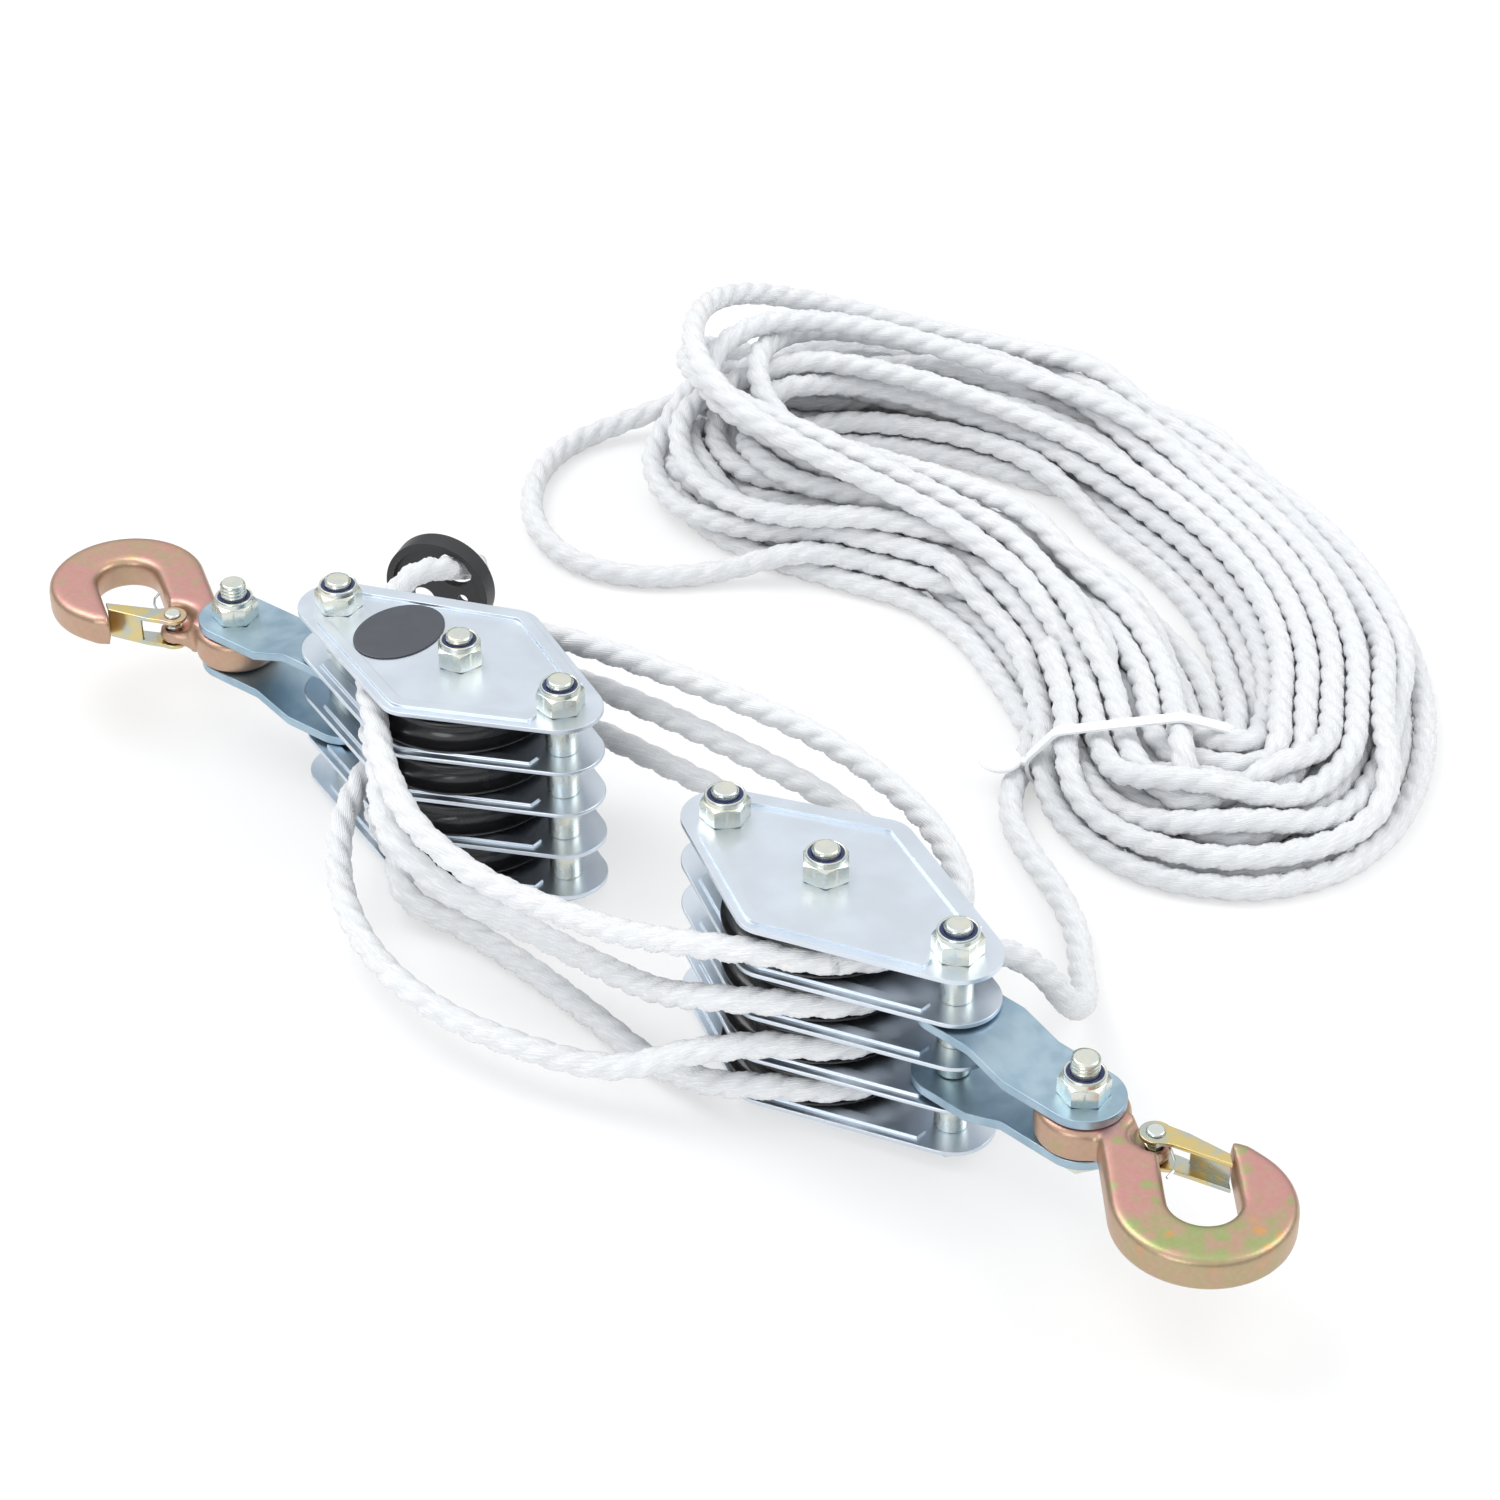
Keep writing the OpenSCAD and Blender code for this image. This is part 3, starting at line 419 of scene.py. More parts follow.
def set_uvs(mesh, uvs):
    """One place per vertex, where corners at 0 beside corners near 1 are moved to 1."""
    layer = mesh.uv_layers.new(name="lay")
    loops = np.zeros(len(mesh.loops), np.int32)
    mesh.loops.foreach_get("vertex_index", loops)
    corners = uvs[loops]
    starts = np.zeros(len(mesh.polygons), np.int32)
    sides = np.zeros(len(mesh.polygons), np.int32)
    mesh.polygons.foreach_get("loop_start", starts)
    mesh.polygons.foreach_get("loop_total", sides)
    highest = np.repeat(np.maximum.reduceat(corners[:, 1], starts), sides)
    corners[:, 1] += highest - corners[:, 1] > 0.5
    layer.data.foreach_set("uv", corners.astype(np.float32).ravel())


def round_edges(obj, name, width, steps, angle):
    """A bevel on all edges that are sharper than an angle in degrees."""
    bevel = obj.modifiers.new(name, "BEVEL")
    bevel.width = width
    bevel.segments = steps
    bevel.limit_method = "ANGLE"
    bevel.angle_limit = math.radians(angle)
    return bevel


def dress(node, name, edge=0.0, steps=2, angle=35.0):
    """Gives a CAD node the named finish in its slot, and rounded edges when edge is above 0."""
    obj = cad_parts[node]
    obj.data.materials.clear()
    obj.data.materials.append(finish(name))
    if edge > 0:
        obj.modifiers.new("join", "WELD").merge_threshold = JOIN
        flat = obj.modifiers.new("flat", "DECIMATE")
        flat.decimate_type = "DISSOLVE"
        flat.angle_limit = math.radians(1)
        round_edges(obj, "edge", edge, steps, angle)
        soften = obj.modifiers.new("shade", "WEIGHTED_NORMAL")
        soften.keep_sharp = True
        smooth_faces(obj.data)
    return obj


def ring_walls(base, rows, sides):
    """Faces between closed rings of vertices that follow each other."""
    faces = []
    for row in range(rows - 1):
        for k in range(sides):
            a, b = base + row * sides + k, base + row * sides + (k + 1) % sides
            faces.append((a, b, b + sides, a + sides))
    return faces


def outward(a, b):
    """Direction to the right of the way from a to b, in a plane."""
    d = b - a
    out = np.array([d[1], -d[0]])
    return out / np.linalg.norm(out)


def hull(points):
    """Convex outline of points in a plane, anticlockwise."""
    pts = sorted({(round(float(x), 3), round(float(y), 3)) for x, y in points})

    def chain(items):
        out = []
        for p in items:
            while len(out) > 1 and ((out[-1][0] - out[-2][0]) * (p[1] - out[-2][1])
                                    - (out[-1][1] - out[-2][1]) * (p[0] - out[-2][0])) <= 0:
                out.pop()
            out.append(p)
        return out[:-1]

    return np.array(chain(pts) + chain(pts[::-1]))


def between(t, first, last, a, b):
    """Points on the straight way from a to b, at times between first and last."""
    return (last - t) / (last - first) * a + (t - first) / (last - first) * b


def smooth_line(points, spacing):
    """A smooth curve through points, resampled at an even spacing."""
    p = np.asarray(points, float)
    p = np.vstack([2 * p[0] - p[1], p, 2 * p[-1] - p[-2]])
    out = []
    for i in range(1, len(p) - 2):
        a, b, c, d = p[i - 1:i + 3]
        t1, t2, t3 = np.cumsum(
            [math.sqrt(max(np.linalg.norm(last - first), 1e-6))
             for first, last in ((a, b), (b, c), (c, d))])
        count = max(4, int(np.linalg.norm(c - b) / spacing * 2))
        t = np.linspace(t1, t2, count, endpoint=False)[:, None]
        a1, a2, a3 = between(t, 0.0, t1, a, b), between(t, t1, t2, b, c), between(t, t2, t3, c, d)
        b1, b2 = between(t, 0.0, t2, a1, a2), between(t, t1, t3, a2, a3)
        out.append(between(t, t1, t2, b1, b2))
    out.append(p[-2][None, :])
    return even_line(np.vstack(out), spacing)


def even_line(points, spacing):
    """The same line with points at an even spacing."""
    steps = np.linalg.norm(np.diff(points, axis=0), axis=1)
    run = np.concatenate([[0], np.cumsum(steps)])
    count = max(2, int(round(run[-1] / spacing)) + 1)
    at = np.linspace(0, run[-1], count)
    return np.stack([np.interp(at, run, points[:, k]) for k in range(3)], axis=1)


def line_length(points):
    return float(np.linalg.norm(np.diff(points, axis=0), axis=1).sum())


def frames(points):
    """Tangents and turn-free side directions along a line."""
    n = len(points)
    tangent = np.gradient(points, axis=0)
    tangent /= np.linalg.norm(tangent, axis=1)[:, None]
    side = np.zeros_like(points)
    first = np.cross(tangent[0], [0.0, 0.0, 1.0])
    if np.linalg.norm(first) < 0.1:
        first = np.cross(tangent[0], [1.0, 0.0, 0.0])
    side[0] = first / np.linalg.norm(first)
    for i in range(1, n):
        s = side[i - 1] - tangent[i] * np.dot(side[i - 1], tangent[i])
        side[i] = s / np.linalg.norm(s)
    return tangent, side, np.cross(side, tangent)


def sweep(points, radii, angles):
    """Rings of a tube: radii is one row per ring, angles the same. Returns vertices and faces."""
    tangent, u, v = frames(points)
    n, k = angles.shape
    outs = (np.cos(angles)[:, :, None] * u[:, None, :]
            + np.sin(angles)[:, :, None] * v[:, None, :])
    verts = (points[:, None, :] + radii[:, :, None] * outs).reshape(-1, 3)
    i = np.arange(n - 1)[:, None] * k
    a = np.arange(k)[None, :]
    b = (a + 1) % k
    walls = np.stack([i + a, i + k + a, i + k + b, i + b], axis=-1).reshape(-1, 4)
    centre = len(verts)
    verts = np.vstack([verts, points[0] - tangent[0] * radii.max() * 0.15,
                       points[-1] + tangent[-1] * radii.max() * 0.15])
    faces = [tuple(f) for f in walls]
    faces += [(centre, q, (q + 1) % k) for q in range(k)]
    last = (n - 1) * k
    faces += [(centre + 1, last + (q + 1) % k, last + q) for q in range(k)]
    return verts, faces


def laid_rope(name, line, start=0.0):
    """Three-strand rope along a line in millimetres. start is the length of rope before it."""
    rope = bpy.context.scene.hoist_rope
    radius = rope.diameter / 2 / MM
    pitch = rope.pitch / MM
    share = rope.strand_share
    per_strand = 6
    k = 3 * per_strand
    within = (np.arange(k) % per_strand) / per_strand * 120.0 - 60.0
    phi = np.radians(within)
    lobe = (1 - share) * np.cos(phi) + np.sqrt(share ** 2 - ((1 - share) * np.sin(phi)) ** 2)
    steps = np.linalg.norm(np.diff(line, axis=0), axis=1)
    run = start + np.concatenate([[0], np.cumsum(steps)])
    turn = 2 * math.pi * run / pitch
    base = 2 * math.pi * np.arange(k) / k
    angles = turn[:, None] + base[None, :]
    radii = np.repeat((radius * lobe)[None, :], len(line), axis=0)
    verts, faces = sweep(line, radii, angles)
    uvs = np.zeros((len(verts), 2))
    uvs[:len(line) * k, 0] = np.repeat(run / pitch, k)
    uvs[:len(line) * k, 1] = np.tile(np.arange(k) / k, len(line))
    return piece(name, in_frame(verts), faces, "rope_white", uvs)


def declare_cord(obj, line, **values):
    """Works out the cord's path in the frame, as every second point and the last one, and keeps
    nothing.
    """
    path = in_frame(line)
    [tuple(q) for q in path[::2]] + [tuple(path[-1])]


# ---- Places ----

def block_point(block, x, y, z):
    """A point in a block's own axes, in millimetres on the drawing's axes."""
    if block == "fixed":
        return np.array([HALF_SPAN + x, y, z])
    c, s = math.cos(TRAVEL_HEADING), math.sin(TRAVEL_HEADING)
    return np.array([x * c - y * s - HALF_SPAN, x * s + y * c, z])


def turn_arc(block, level, first, last):
    """Middle of the rope on a sheave, from one angle in degrees to another."""
    count = max(2, int(abs(last - first) / 8) + 1)
    return [block_point(block, TURN_R * math.cos(a), TURN_R * math.sin(a), GAP_Z[level])
            for a in np.radians(np.linspace(first, last, count))]


def lead(block, level, angle, way):
    """End of the straight part beyond a turn, where way is 1 or -1."""
    a = math.radians(angle)
    x = TURN_R * math.cos(a) - way * LEAD * math.sin(a)
    y = TURN_R * math.sin(a) + way * LEAD * math.cos(a)
    return [block_point(block, x, y, GAP_Z[level])]


# Angles in degrees between which the rope lies on each sheave, from the top
FIXED_TURNS = ((-60, -40), (-50, 15), (-50, 35), (-50, 40))
TRAVEL_TURNS = ((-50, 50), (-50, 50), (-50, 20), (40, 60))
# Points that the slack strands run through, from the fixed block and from the travelling one
NEAR_ROUTES = (
    ((61, -38, 57), (36, -41, 49), (9, -43, 43.5), (-18, -48, 44), (-44, -49, 50), (-65, -42, 57)),
    ((69, -38, 42), (47, -38, 32), (20, -36, 25), (-8, -39, 25), (-36, -45, 28),
     (-60, -46.5, 38.5)),
    ((69, -43, 25.5), (47, -57, 15), (18, -69, 14), (-12, -74, 14), (-42, -71, 16), (-69, -59, 20),
     (-87, -42, 26)),
    ((69, -38, 10.5), (46, -39, 5), (18, -37, 5), (-10, -35, 5), (-38, -35, 5), (-61, -40, 9)),
)
FAR_ROUTES = (
    ((-72, 41, 59), (-46, 52, 56), (-18, 62, 52), (11, 68, 49), (40, 68, 46), (67, 60, 45),
     (90, 44, 45)),
    ((-70, 42, 44), (-42, 52, 40), (-13, 59, 36), (17, 63, 33), (47, 60, 30), (74, 47, 29)),
    ((-70, 41, 28), (-42, 49, 24), (-14, 55, 20), (15, 57, 16), (44, 53, 14), (70, 42, 14)),
)
# Stopper disc, and the dead end as points across the disc, out from it and up
DISC_AT = (-171.5, 74.0)
DISC_TILT = math.radians(24.3)
DEAD_END = ((9, 68, 14.5), (3, 54, 17), (-1, 46, 20.5), (-3.5, 38.5, 26), (-3.5, 31, 31.5),
            (-1, 22.5, 35), (2.5, 15, 34.6), (5, 8, 31.4), (6, 0, 27), (6.5, -8, 22.5),
            (7, -16, 18))
# Hauling part, from the fixed block to the hank
TAIL = ((115, 1, 60.6), (122.5, 10, 60.6), (127.5, 18, 59.2), (131, 26, 53), (132.5, 34, 43),
        (132, 42, 31), (128, 53, 19), (120, 67, 9.8), (108, 80, 5.4), (94, 94, 4.6),
        (77, 105, 4.6), (60, 113, 4.6), (43, 123, 4.6), (31, 137, 4.6), (24, 152, 4.6))


def by_disc(across, out, z):
    """A point on the drawing's axes from one beside the stopper disc."""
    c, s = math.cos(DISC_TILT), math.sin(DISC_TILT)
    return np.array([DISC_AT[0] + across * c + out * s, DISC_AT[1] + across * s - out * c, z])


def strand_line(route, first, last):
    """A strand from one turn to another, each as block, level and the two angles of its arc."""
    points = turn_arc(*first) + lead(first[0], first[1], first[3], -1)
    points += [np.array(p, float) for p in route]
    points += lead(last[0], last[1], last[2], 1) + turn_arc(*last)
    return smooth_line(points, ROPE_STEP)


def near_line(n):
    """A strand from the middle of a turn on the fixed block to one on the travelling block."""
    a, b = FIXED_TURNS[n], TRAVEL_TURNS[n]
    fixed_mid = a[1] if n == 0 else (a[0] + a[1]) / 2
    travel_mid = b[0] if n == 3 else (b[0] + b[1]) / 2
    return strand_line(
        NEAR_ROUTES[n], ("fixed", n, fixed_mid, a[0]), ("travel", n, b[1], travel_mid))


def far_line(n):
    """A strand from a turn on the travelling block to the next turn on the fixed block."""
    a, b = TRAVEL_TURNS[n], FIXED_TURNS[n + 1]
    return strand_line(
        FAR_ROUTES[n], ("travel", n, (a[0] + a[1]) / 2, a[0]),
        ("fixed", n + 1, b[1], (b[0] + b[1]) / 2))


# ---- Hank ----

# Where the hank starts and its heading, then its form in millimetres: radius of the folds, step
# between lanes, loops per layer, layers, opening on the left and narrowing in the middle
HANK_AT = np.array([-201.0, 199.0])
HANK_HEADING = math.radians(32)
FOLD_R, STEP, LOOPS, LAYERS, SPREAD, WAIST = 21.0, 9.7, 5, 4, 18.0, 5.0
INNER_R = 12.0
BEND_R, BEND, STRAIGHT = 158.0, math.radians(84), 21.0
# Points per loop, and how many of them lie on each part of it
RINGS, NEAR_RINGS, FOLD_RINGS, FAR_RINGS, NEAR_SHARE = 24, 3, 7, 5, 0.72
HANK_HALF = FOLD_R + STEP * LOOPS
HANK_ARC = BEND_R * BEND
HANK_RUN = HANK_ARC + STRAIGHT
BEND_FROM = HANK_AT + HANK_HALF * np.array([math.cos(HANK_HEADING), math.sin(HANK_HEADING)])
BEND_CENTRE = BEND_FROM + BEND_R * np.array([math.sin(HANK_HEADING), -math.cos(HANK_HEADING)])
# How far the lanes are pressed together, so that the hank lies higher and narrower
LANE_PRESS = 0.76
# Outward swell of the far run, and height of a rope's middle on the surface
SWELL, LOW_Z = 14.0, 4.6
# Speeds and sizes of the waves in which the loops wander
WAVES = ((0.37, 0.5), (0.61, 0.45), (1.13, 0.4), (1.71, 0.25))
# Settling: rounds, and rounds between searches for neighbours; fall per round at first, at the end
# and as an extra share on the right; stiffness; pull towards the plan at first and at the end
ROUNDS, SEARCH_ROUNDS = 260, 12
FALL, LAST_FALL, RIGHT_FALL = 0.22, 0.03, 2.5
STIFFNESS = 0.3
PULL, LAST_PULL = 0.05, 0.01
# Places that single loops stand out to, by loop and ring
STRAY = {
    (9, 4): (-140, 136), (9, 5): (-168, 125), (9, 6): (-200, 137), (9, 7): (-224, 166),
    (9, 8): (-230, 194), (9, 9): (-208, 222), (9, 10): (-180, 244),
    (18, 7): (-192, 212), (18, 8): (-211, 246), (18, 9): (-220, 286), (18, 10): (-205, 318),
    (18, 11): (-172, 328), (18, 12): (-128, 324),
}


def hank_place(s, c):
    """Plan of a point s along the bent hank and c outwards from its middle line."""
    arc = min(max(s - HANK_HALF, 0.0), HANK_ARC)
    h = HANK_HEADING - arc / BEND_R
    rest = s - HANK_HALF if s < HANK_HALF else max(s - HANK_HALF - HANK_ARC, 0.0)
    return (BEND_CENTRE + (BEND_R + c) * np.array([-math.sin(h), math.cos(h)])
            + rest * np.array([math.cos(h), math.sin(h)]))


def wander(u, kind):
    """Smooth, repeatable noise between about -1 and 1 along the hank."""
    return sum(a * math.sin(2 * math.pi * f * u + kind * (1.7 + f)) for f, a in WAVES)


def hank_ring(u, loose):
    """Plan of the hank at turn u, in lanes that spiral in and out, with the loops' own strays."""
    t = (u - math.floor(u + 1e-9)) * RINGS
    layer = min(int(u / LOOPS + 1e-9), LAYERS - 1)
    q = u - layer * LOOPS
    h = INNER_R + STEP * LANE_PRESS * (LOOPS - q if layer % 2 == 0 else q)
    h = max(h + loose * wander(u, 1), INNER_R * 0.8)
    left_out = 2.4 * loose * wander(u, 2)
    right_out = 0.8 * loose * wander(u, 3)
    far_at = NEAR_RINGS + FOLD_RINGS
    right_at = far_at + FAR_RINGS
    back_at = right_at + FOLD_RINGS
    wide = h + SPREAD
    if t < NEAR_RINGS:
        s, c = HANK_HALF + HANK_RUN * NEAR_SHARE * (1 - t / NEAR_RINGS), -h
    elif t < far_at + 0.5:
        a = math.radians(-90 - 180 * (t - NEAR_RINGS) / FOLD_RINGS)
        s, c = HANK_HALF + (wide + left_out) * math.cos(a), wide * math.sin(a)
    elif t < right_at:
        s, c = HANK_HALF + HANK_RUN * (t - far_at) / FAR_RINGS, h
    elif t < back_at:
        a = math.radians(90 - 180 * (t - right_at) / FOLD_RINGS)
        s, c = HANK_HALF + HANK_RUN + (h + right_out) * math.cos(a), h * math.sin(a)
    else:
        back = (1 - NEAR_SHARE) * (t - back_at) / (RINGS - back_at)
        s, c = HANK_HALF + HANK_RUN * (1 - back), -h
    x = min((s - HANK_HALF) / HANK_RUN, 1.0)
    draw = WAIST * math.sin(math.pi * x) ** 2 - SPREAD * (1 - x) if x > 0.01 else 0.0
    sway = 2.3 * loose * wander(u, 4) * min(1.0, max(0.0, 1.0 - 1.15 * x))
    swell = SWELL * math.sin(math.pi * min(max(x, 0.0), 1.0)) if c > 0 else 0.0
    return hank_place(s, c - draw * np.sign(c) + sway + swell)


def hank_plan(loose):
    """All rings of the hank in plan, first to last."""
    rings = []
    for i in range(RINGS * LOOPS * LAYERS + 1):
        key = (i // RINGS, i % RINGS)
        rings.append(np.array(STRAY[key]) if key in STRAY else hank_ring(i / RINGS, loose))
    return np.array(rings)


def lay_down(line, diameter, chunk):
    """Heights of a rope that is laid down on itself, part by part."""
    z = np.full(len(line), diameter / 2 + 0.2)
    for start in range(0, len(line), chunk):
        end = min(start + chunk, len(line))
        if start > 12:
            plan = line[start:end, None, :2] - line[None, :start - 10, :2]
            apart = (plan ** 2).sum(axis=2)
            reach = diameter ** 2 * 0.92 - apart
            over = np.where(reach > 0, z[None, :start - 10] + np.sqrt(np.maximum(reach, 0)), 0)
            z[start:end] = np.maximum(z[start:end], over.max(axis=1))
        window = 4
        padded = np.pad(z[start:end], window, mode="edge")
        z[start:end] = np.max([padded[k:k + end - start] for k in range(2 * window + 1)], axis=0)
    kernel = np.exp(-0.5 * (np.arange(-12, 13) / 4.5) ** 2)
    kernel /= kernel.sum()
    return np.convolve(np.pad(z, 12, mode="edge"), kernel, mode="valid")


def neighbours(p, reach, skip):
    """Pairs of points closer than reach in plan, and more than skip apart along the line."""
    order = np.argsort(p[:, 0])
    xs = p[order, 0]
    ends = np.searchsorted(xs, xs + reach)
    found = []
    for a in range(len(p)):
        group = order[a + 1:ends[a]]
        if len(group):
            near = group[np.abs(p[group, 1] - p[order[a], 1]) < reach]
            near = near[np.abs(near - order[a]) > skip]
            if len(near):
                found.append(np.stack([np.full(len(near), order[a]), near]))
    return np.concatenate(found, axis=1)


def settle(line, diameter, rounds, held):
    """Lets the hank's turns fall, push each other apart and lie still. held first points stay."""
    p = line.copy()
    n = len(p)
    home = line[:, :2].copy()
    rest = np.linalg.norm(np.diff(p, axis=0), axis=1)
    spacing = rest.mean()
    skip = int(round(diameter * 1.8 / spacing))
    pin = p[:held].copy()
    for turn in range(rounds):
        if turn % SEARCH_ROUNDS == 0:
            i_all, j_all = neighbours(p, diameter + 3.0, skip)
        late = turn / rounds
        right = 1 + RIGHT_FALL * np.clip((p[:, 0] + 90) / 120, 0, 1)
        p[:, 2] -= (FALL * (1 - late) + LAST_FALL) * right
        bend = p[:-2] + p[2:] - 2 * p[1:-1]
        p[1:-1] += STIFFNESS * bend
        p[:, :2] += (PULL * (1 - late) + LAST_PULL) * (home - p[:, :2])
        for odd in (0, 1):
            a = np.arange(odd, n - 1, 2)
            d = p[a + 1] - p[a]
            length = np.linalg.norm(d, axis=1)
            move = d * (0.5 * (length - rest[a]) / np.maximum(length, 1e-6))[:, None]
            p[a] += move
            p[a + 1] -= move
        for _ in range(2):
            i, j = i_all, j_all
            d = p[j] - p[i]
            length = np.linalg.norm(d, axis=1)
            close = length < diameter
            i, j, d, length = i[close], j[close], d[close], length[close]
            push = d * (0.5 * (diameter - length) / np.maximum(length, 1e-6))[:, None]
            for axis in range(3):
                total = (np.bincount(j, push[:, axis], n) - np.bincount(i, push[:, axis], n))
                count = np.maximum(np.bincount(i, minlength=n) + np.bincount(j, minlength=n), 1)
                p[:, axis] += total / np.sqrt(count)
            p[:, 2] = np.maximum(p[:, 2], diameter / 2 + 0.05)
            p[:held] = pin
    return p


def tail_line():
    """Hauling part from the top sheave down to the surface and on to the hank's first ring."""
    points = turn_arc("fixed", 0, -44, -40) + lead("fixed", 0, -40, 1)
    return points + [np.array(p, float) for p in TAIL]


def hank_line():
    """The hauling part and the hank in one line, and the number of points before the hank."""
    rope = bpy.context.scene.hoist_rope
    diameter = rope.diameter / MM
    rings = hank_plan(rope.looseness / MM)
    flat = smooth_line(np.column_stack([rings, np.full(len(rings), LOW_Z)]), SETTLE_STEP)
    flat[:, 2] = lay_down(flat, diameter, int(len(flat) / (LOOPS * LAYERS)))
    before = smooth_line(tail_line() + [flat[0] * [1, 1, 0] + [0, 0, LOW_Z]], SETTLE_STEP)
    count = len(before) - 1
    whole = settle(np.vstack([before[:-1], flat]), diameter, ROUNDS, count - 4)
    kernel = np.array([0.25, 0.5, 0.25])
    for axis in range(3):
        inner = np.convolve(whole[:, axis], kernel, mode="valid")
        whole[count:-1, axis] = inner[count - 1:]
    return whole, count


# ---- Operators ----

CAMERA_AT = (0.66433, -0.62846, 0.7344)
CAMERA_TURN = (54.273, 0.0, 44.26)
LOOK_AT = Vector((0, 0.1, 0))
# What mirrors see of the room: its low part in this colour, and white above these shares of height
LOW_ROOM = (0.22, 0.28, 0.32)
HORIZON = (0.12, 0.62)
ROOM_TINT = (0.97, 0.985, 1.0)
FLOOR_HALF, FLOOR_GLOW = 6.0, 0.5
# Lamps: place, width, and power as a share of the key lamp's or the fill lamp's
LAMPS = (
    ("key", (-0.9, -0.25, 1.5), 1.3, 1.0),
    ("fill", (0.9, 0.9, 1.1), 1.0, 1.0),
    ("front", (0.4, -1.3, 0.6), 0.7, 0.6),
)


class HOIST_OT_stage(bpy.types.Operator):
    """Sets the floor, the lamps, the even light and the camera"""
    bl_idname = "hoist.stage"
    bl_label = "Stage and camera"

    def execute(self, context):
        scene = context.scene
        scene.view_settings.view_transform = "Standard"
        self.camera(scene)
        self.room(scene)
        self.floor()
        self.lamps(scene)
        return {"FINISHED"}

    def camera(self, scene):
        camera = bpy.data.cameras.new("camera")
        camera.lens = scene.hoist_stage.lens
        camera.sensor_width = 36.0
        camera.sensor_fit = "HORIZONTAL"
        eye = bpy.data.objects.new("camera", camera)
        eye.location = CAMERA_AT
        eye.rotation_euler = [math.radians(angle) for angle in CAMERA_TURN]
        scene.collection.objects.link(eye)
        scene.camera = eye

    def room(self, scene):
        """Even light, white to the camera, and darker low down in mirrors."""
        world = bpy.data.worlds.new("room")
        world.use_nodes = True
        scene.world = world
        g = Graph(world.node_tree)
        rise = g.part(g.add("ShaderNodeTexCoord", out="Generated"), "Z").step(*HORIZON)
        tone = g.mix(g.ray("Glossy"), WHITE, g.mix(rise, LOW_ROOM, WHITE))
        seen = g.add("ShaderNodeBackground", {}, {"Color": tone, "Strength": 1.0})
        strength = scene.hoist_stage.room_light
        light = g.add("ShaderNodeBackground", {}, {"Color": ROOM_TINT, "Strength": strength})
        mixed = g.add("ShaderNodeMixShader", {}, {0: g.seen(), 1: light, 2: seen})
        g.feed(g.tree.nodes.new("ShaderNodeOutputWorld").inputs[0], mixed)

    def floor(self):
        """A pale surface that takes shadows, and glows towards the camera and mirrors."""
        f = Finish("floor_pale")
        f.surface(Base_Color=(0.93, 0.93, 0.93), Roughness=0.9)
        glow = f.add("ShaderNodeEmission", {}, {"Color": WHITE, "Strength": 1.0})
        own = Soc(f, f.shader.outputs[0])
        mixed = f.add("ShaderNodeMixShader", {}, {0: f.seen() * FLOOR_GLOW, 1: own, 2: glow})
        f.feed(f.output.inputs[0], mixed)
        corners = [(x * FLOOR_HALF, y * FLOOR_HALF, 0)
                   for x, y in ((-1, -1), (1, -1), (1, 1), (-1, 1))]
        piece("floor", corners, [(0, 1, 2, 3)], f.material, smooth=False)

    def lamps(self, scene):
        stage = scene.hoist_stage
        for name, at, size, share in LAMPS:
            lamp = bpy.data.lights.new(name, "AREA")
            lamp.shape = "DISK"
            lamp.size = size
            lamp.energy = share * (stage.key_power if name == "key" else stage.fill_power)
            obj = bpy.data.objects.new(name, lamp)
            obj.location = at
            obj.rotation_euler = (LOOK_AT - Vector(at)).to_track_quat("-Z", "Y").to_euler()
            scene.collection.objects.link(obj)


class HOIST_OT_strands(bpy.types.Operator):
    """Lays the seven slack strands between the blocks"""
    bl_idname = "hoist.strands"
    bl_label = "Strands between the blocks"

    def execute(self, context):
        start = 0.0
        for n in range(4):
            for kind in ("near", "far"):
                if kind == "far" and n == 3:
                    continue
                line = near_line(n) if kind == "near" else far_line(n)
                obj = laid_rope(f"{kind}_strand_{n + 1}", line, start)
                start += line_length(line)
                solids = [f"{kind}_strands"]
                if kind == "near":
                    solids += ["fixed_rope_turns", "travel_rope_turns"]
                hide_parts(*solids)
                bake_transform(obj)
                declare_cord(obj, line, far_end="object", lay="loose")
        context.scene["hoist_reeved_mm"] = start
        return {"FINISHED"}


class HOIST_OT_dead_end(bpy.types.Operator):
    """Leads the rope's fixed end from the lowest sheave through the stopper disc"""
    bl_idname = "hoist.dead_end"
    bl_label = "Dead end"

    def execute(self, context):
        points = turn_arc("travel", 3, 46, 40) + lead("travel", 3, 40, -1)
        line = smooth_line(points + [by_disc(*p) for p in DEAD_END], ROPE_STEP)
        obj = laid_rope("dead_end_line", line, context.scene["hoist_reeved_mm"])
        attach(obj, "travelling_block")
        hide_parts("dead_end_rope")
        declare_cord(obj, line, far_end="bare", lay="loose")
        return {"FINISHED"}


# Tie: half width and thickness of the band, gap to the ropes, tab's radius, thickness and chamfer,
# half width of the neck between them, and half length and width of what it takes hold of
TIE_HALF, TIE_THICK, TIE_GAP = 2.3, 1.2, 0.35
TAB_R, TAB_THICK, TAB_EDGE, TAB_SIDES = 7.0, 1.6, 0.5, 40
NECK_HALF = 1.6
TIED_LONG, TIED_WIDE = 6.0, 44.0


def flat_bar(half):
    """Corners of the band's section, as places along the ropes and away from them."""
    return (-half, 0), (half, 0), (half, TIE_THICK), (-half, TIE_THICK)


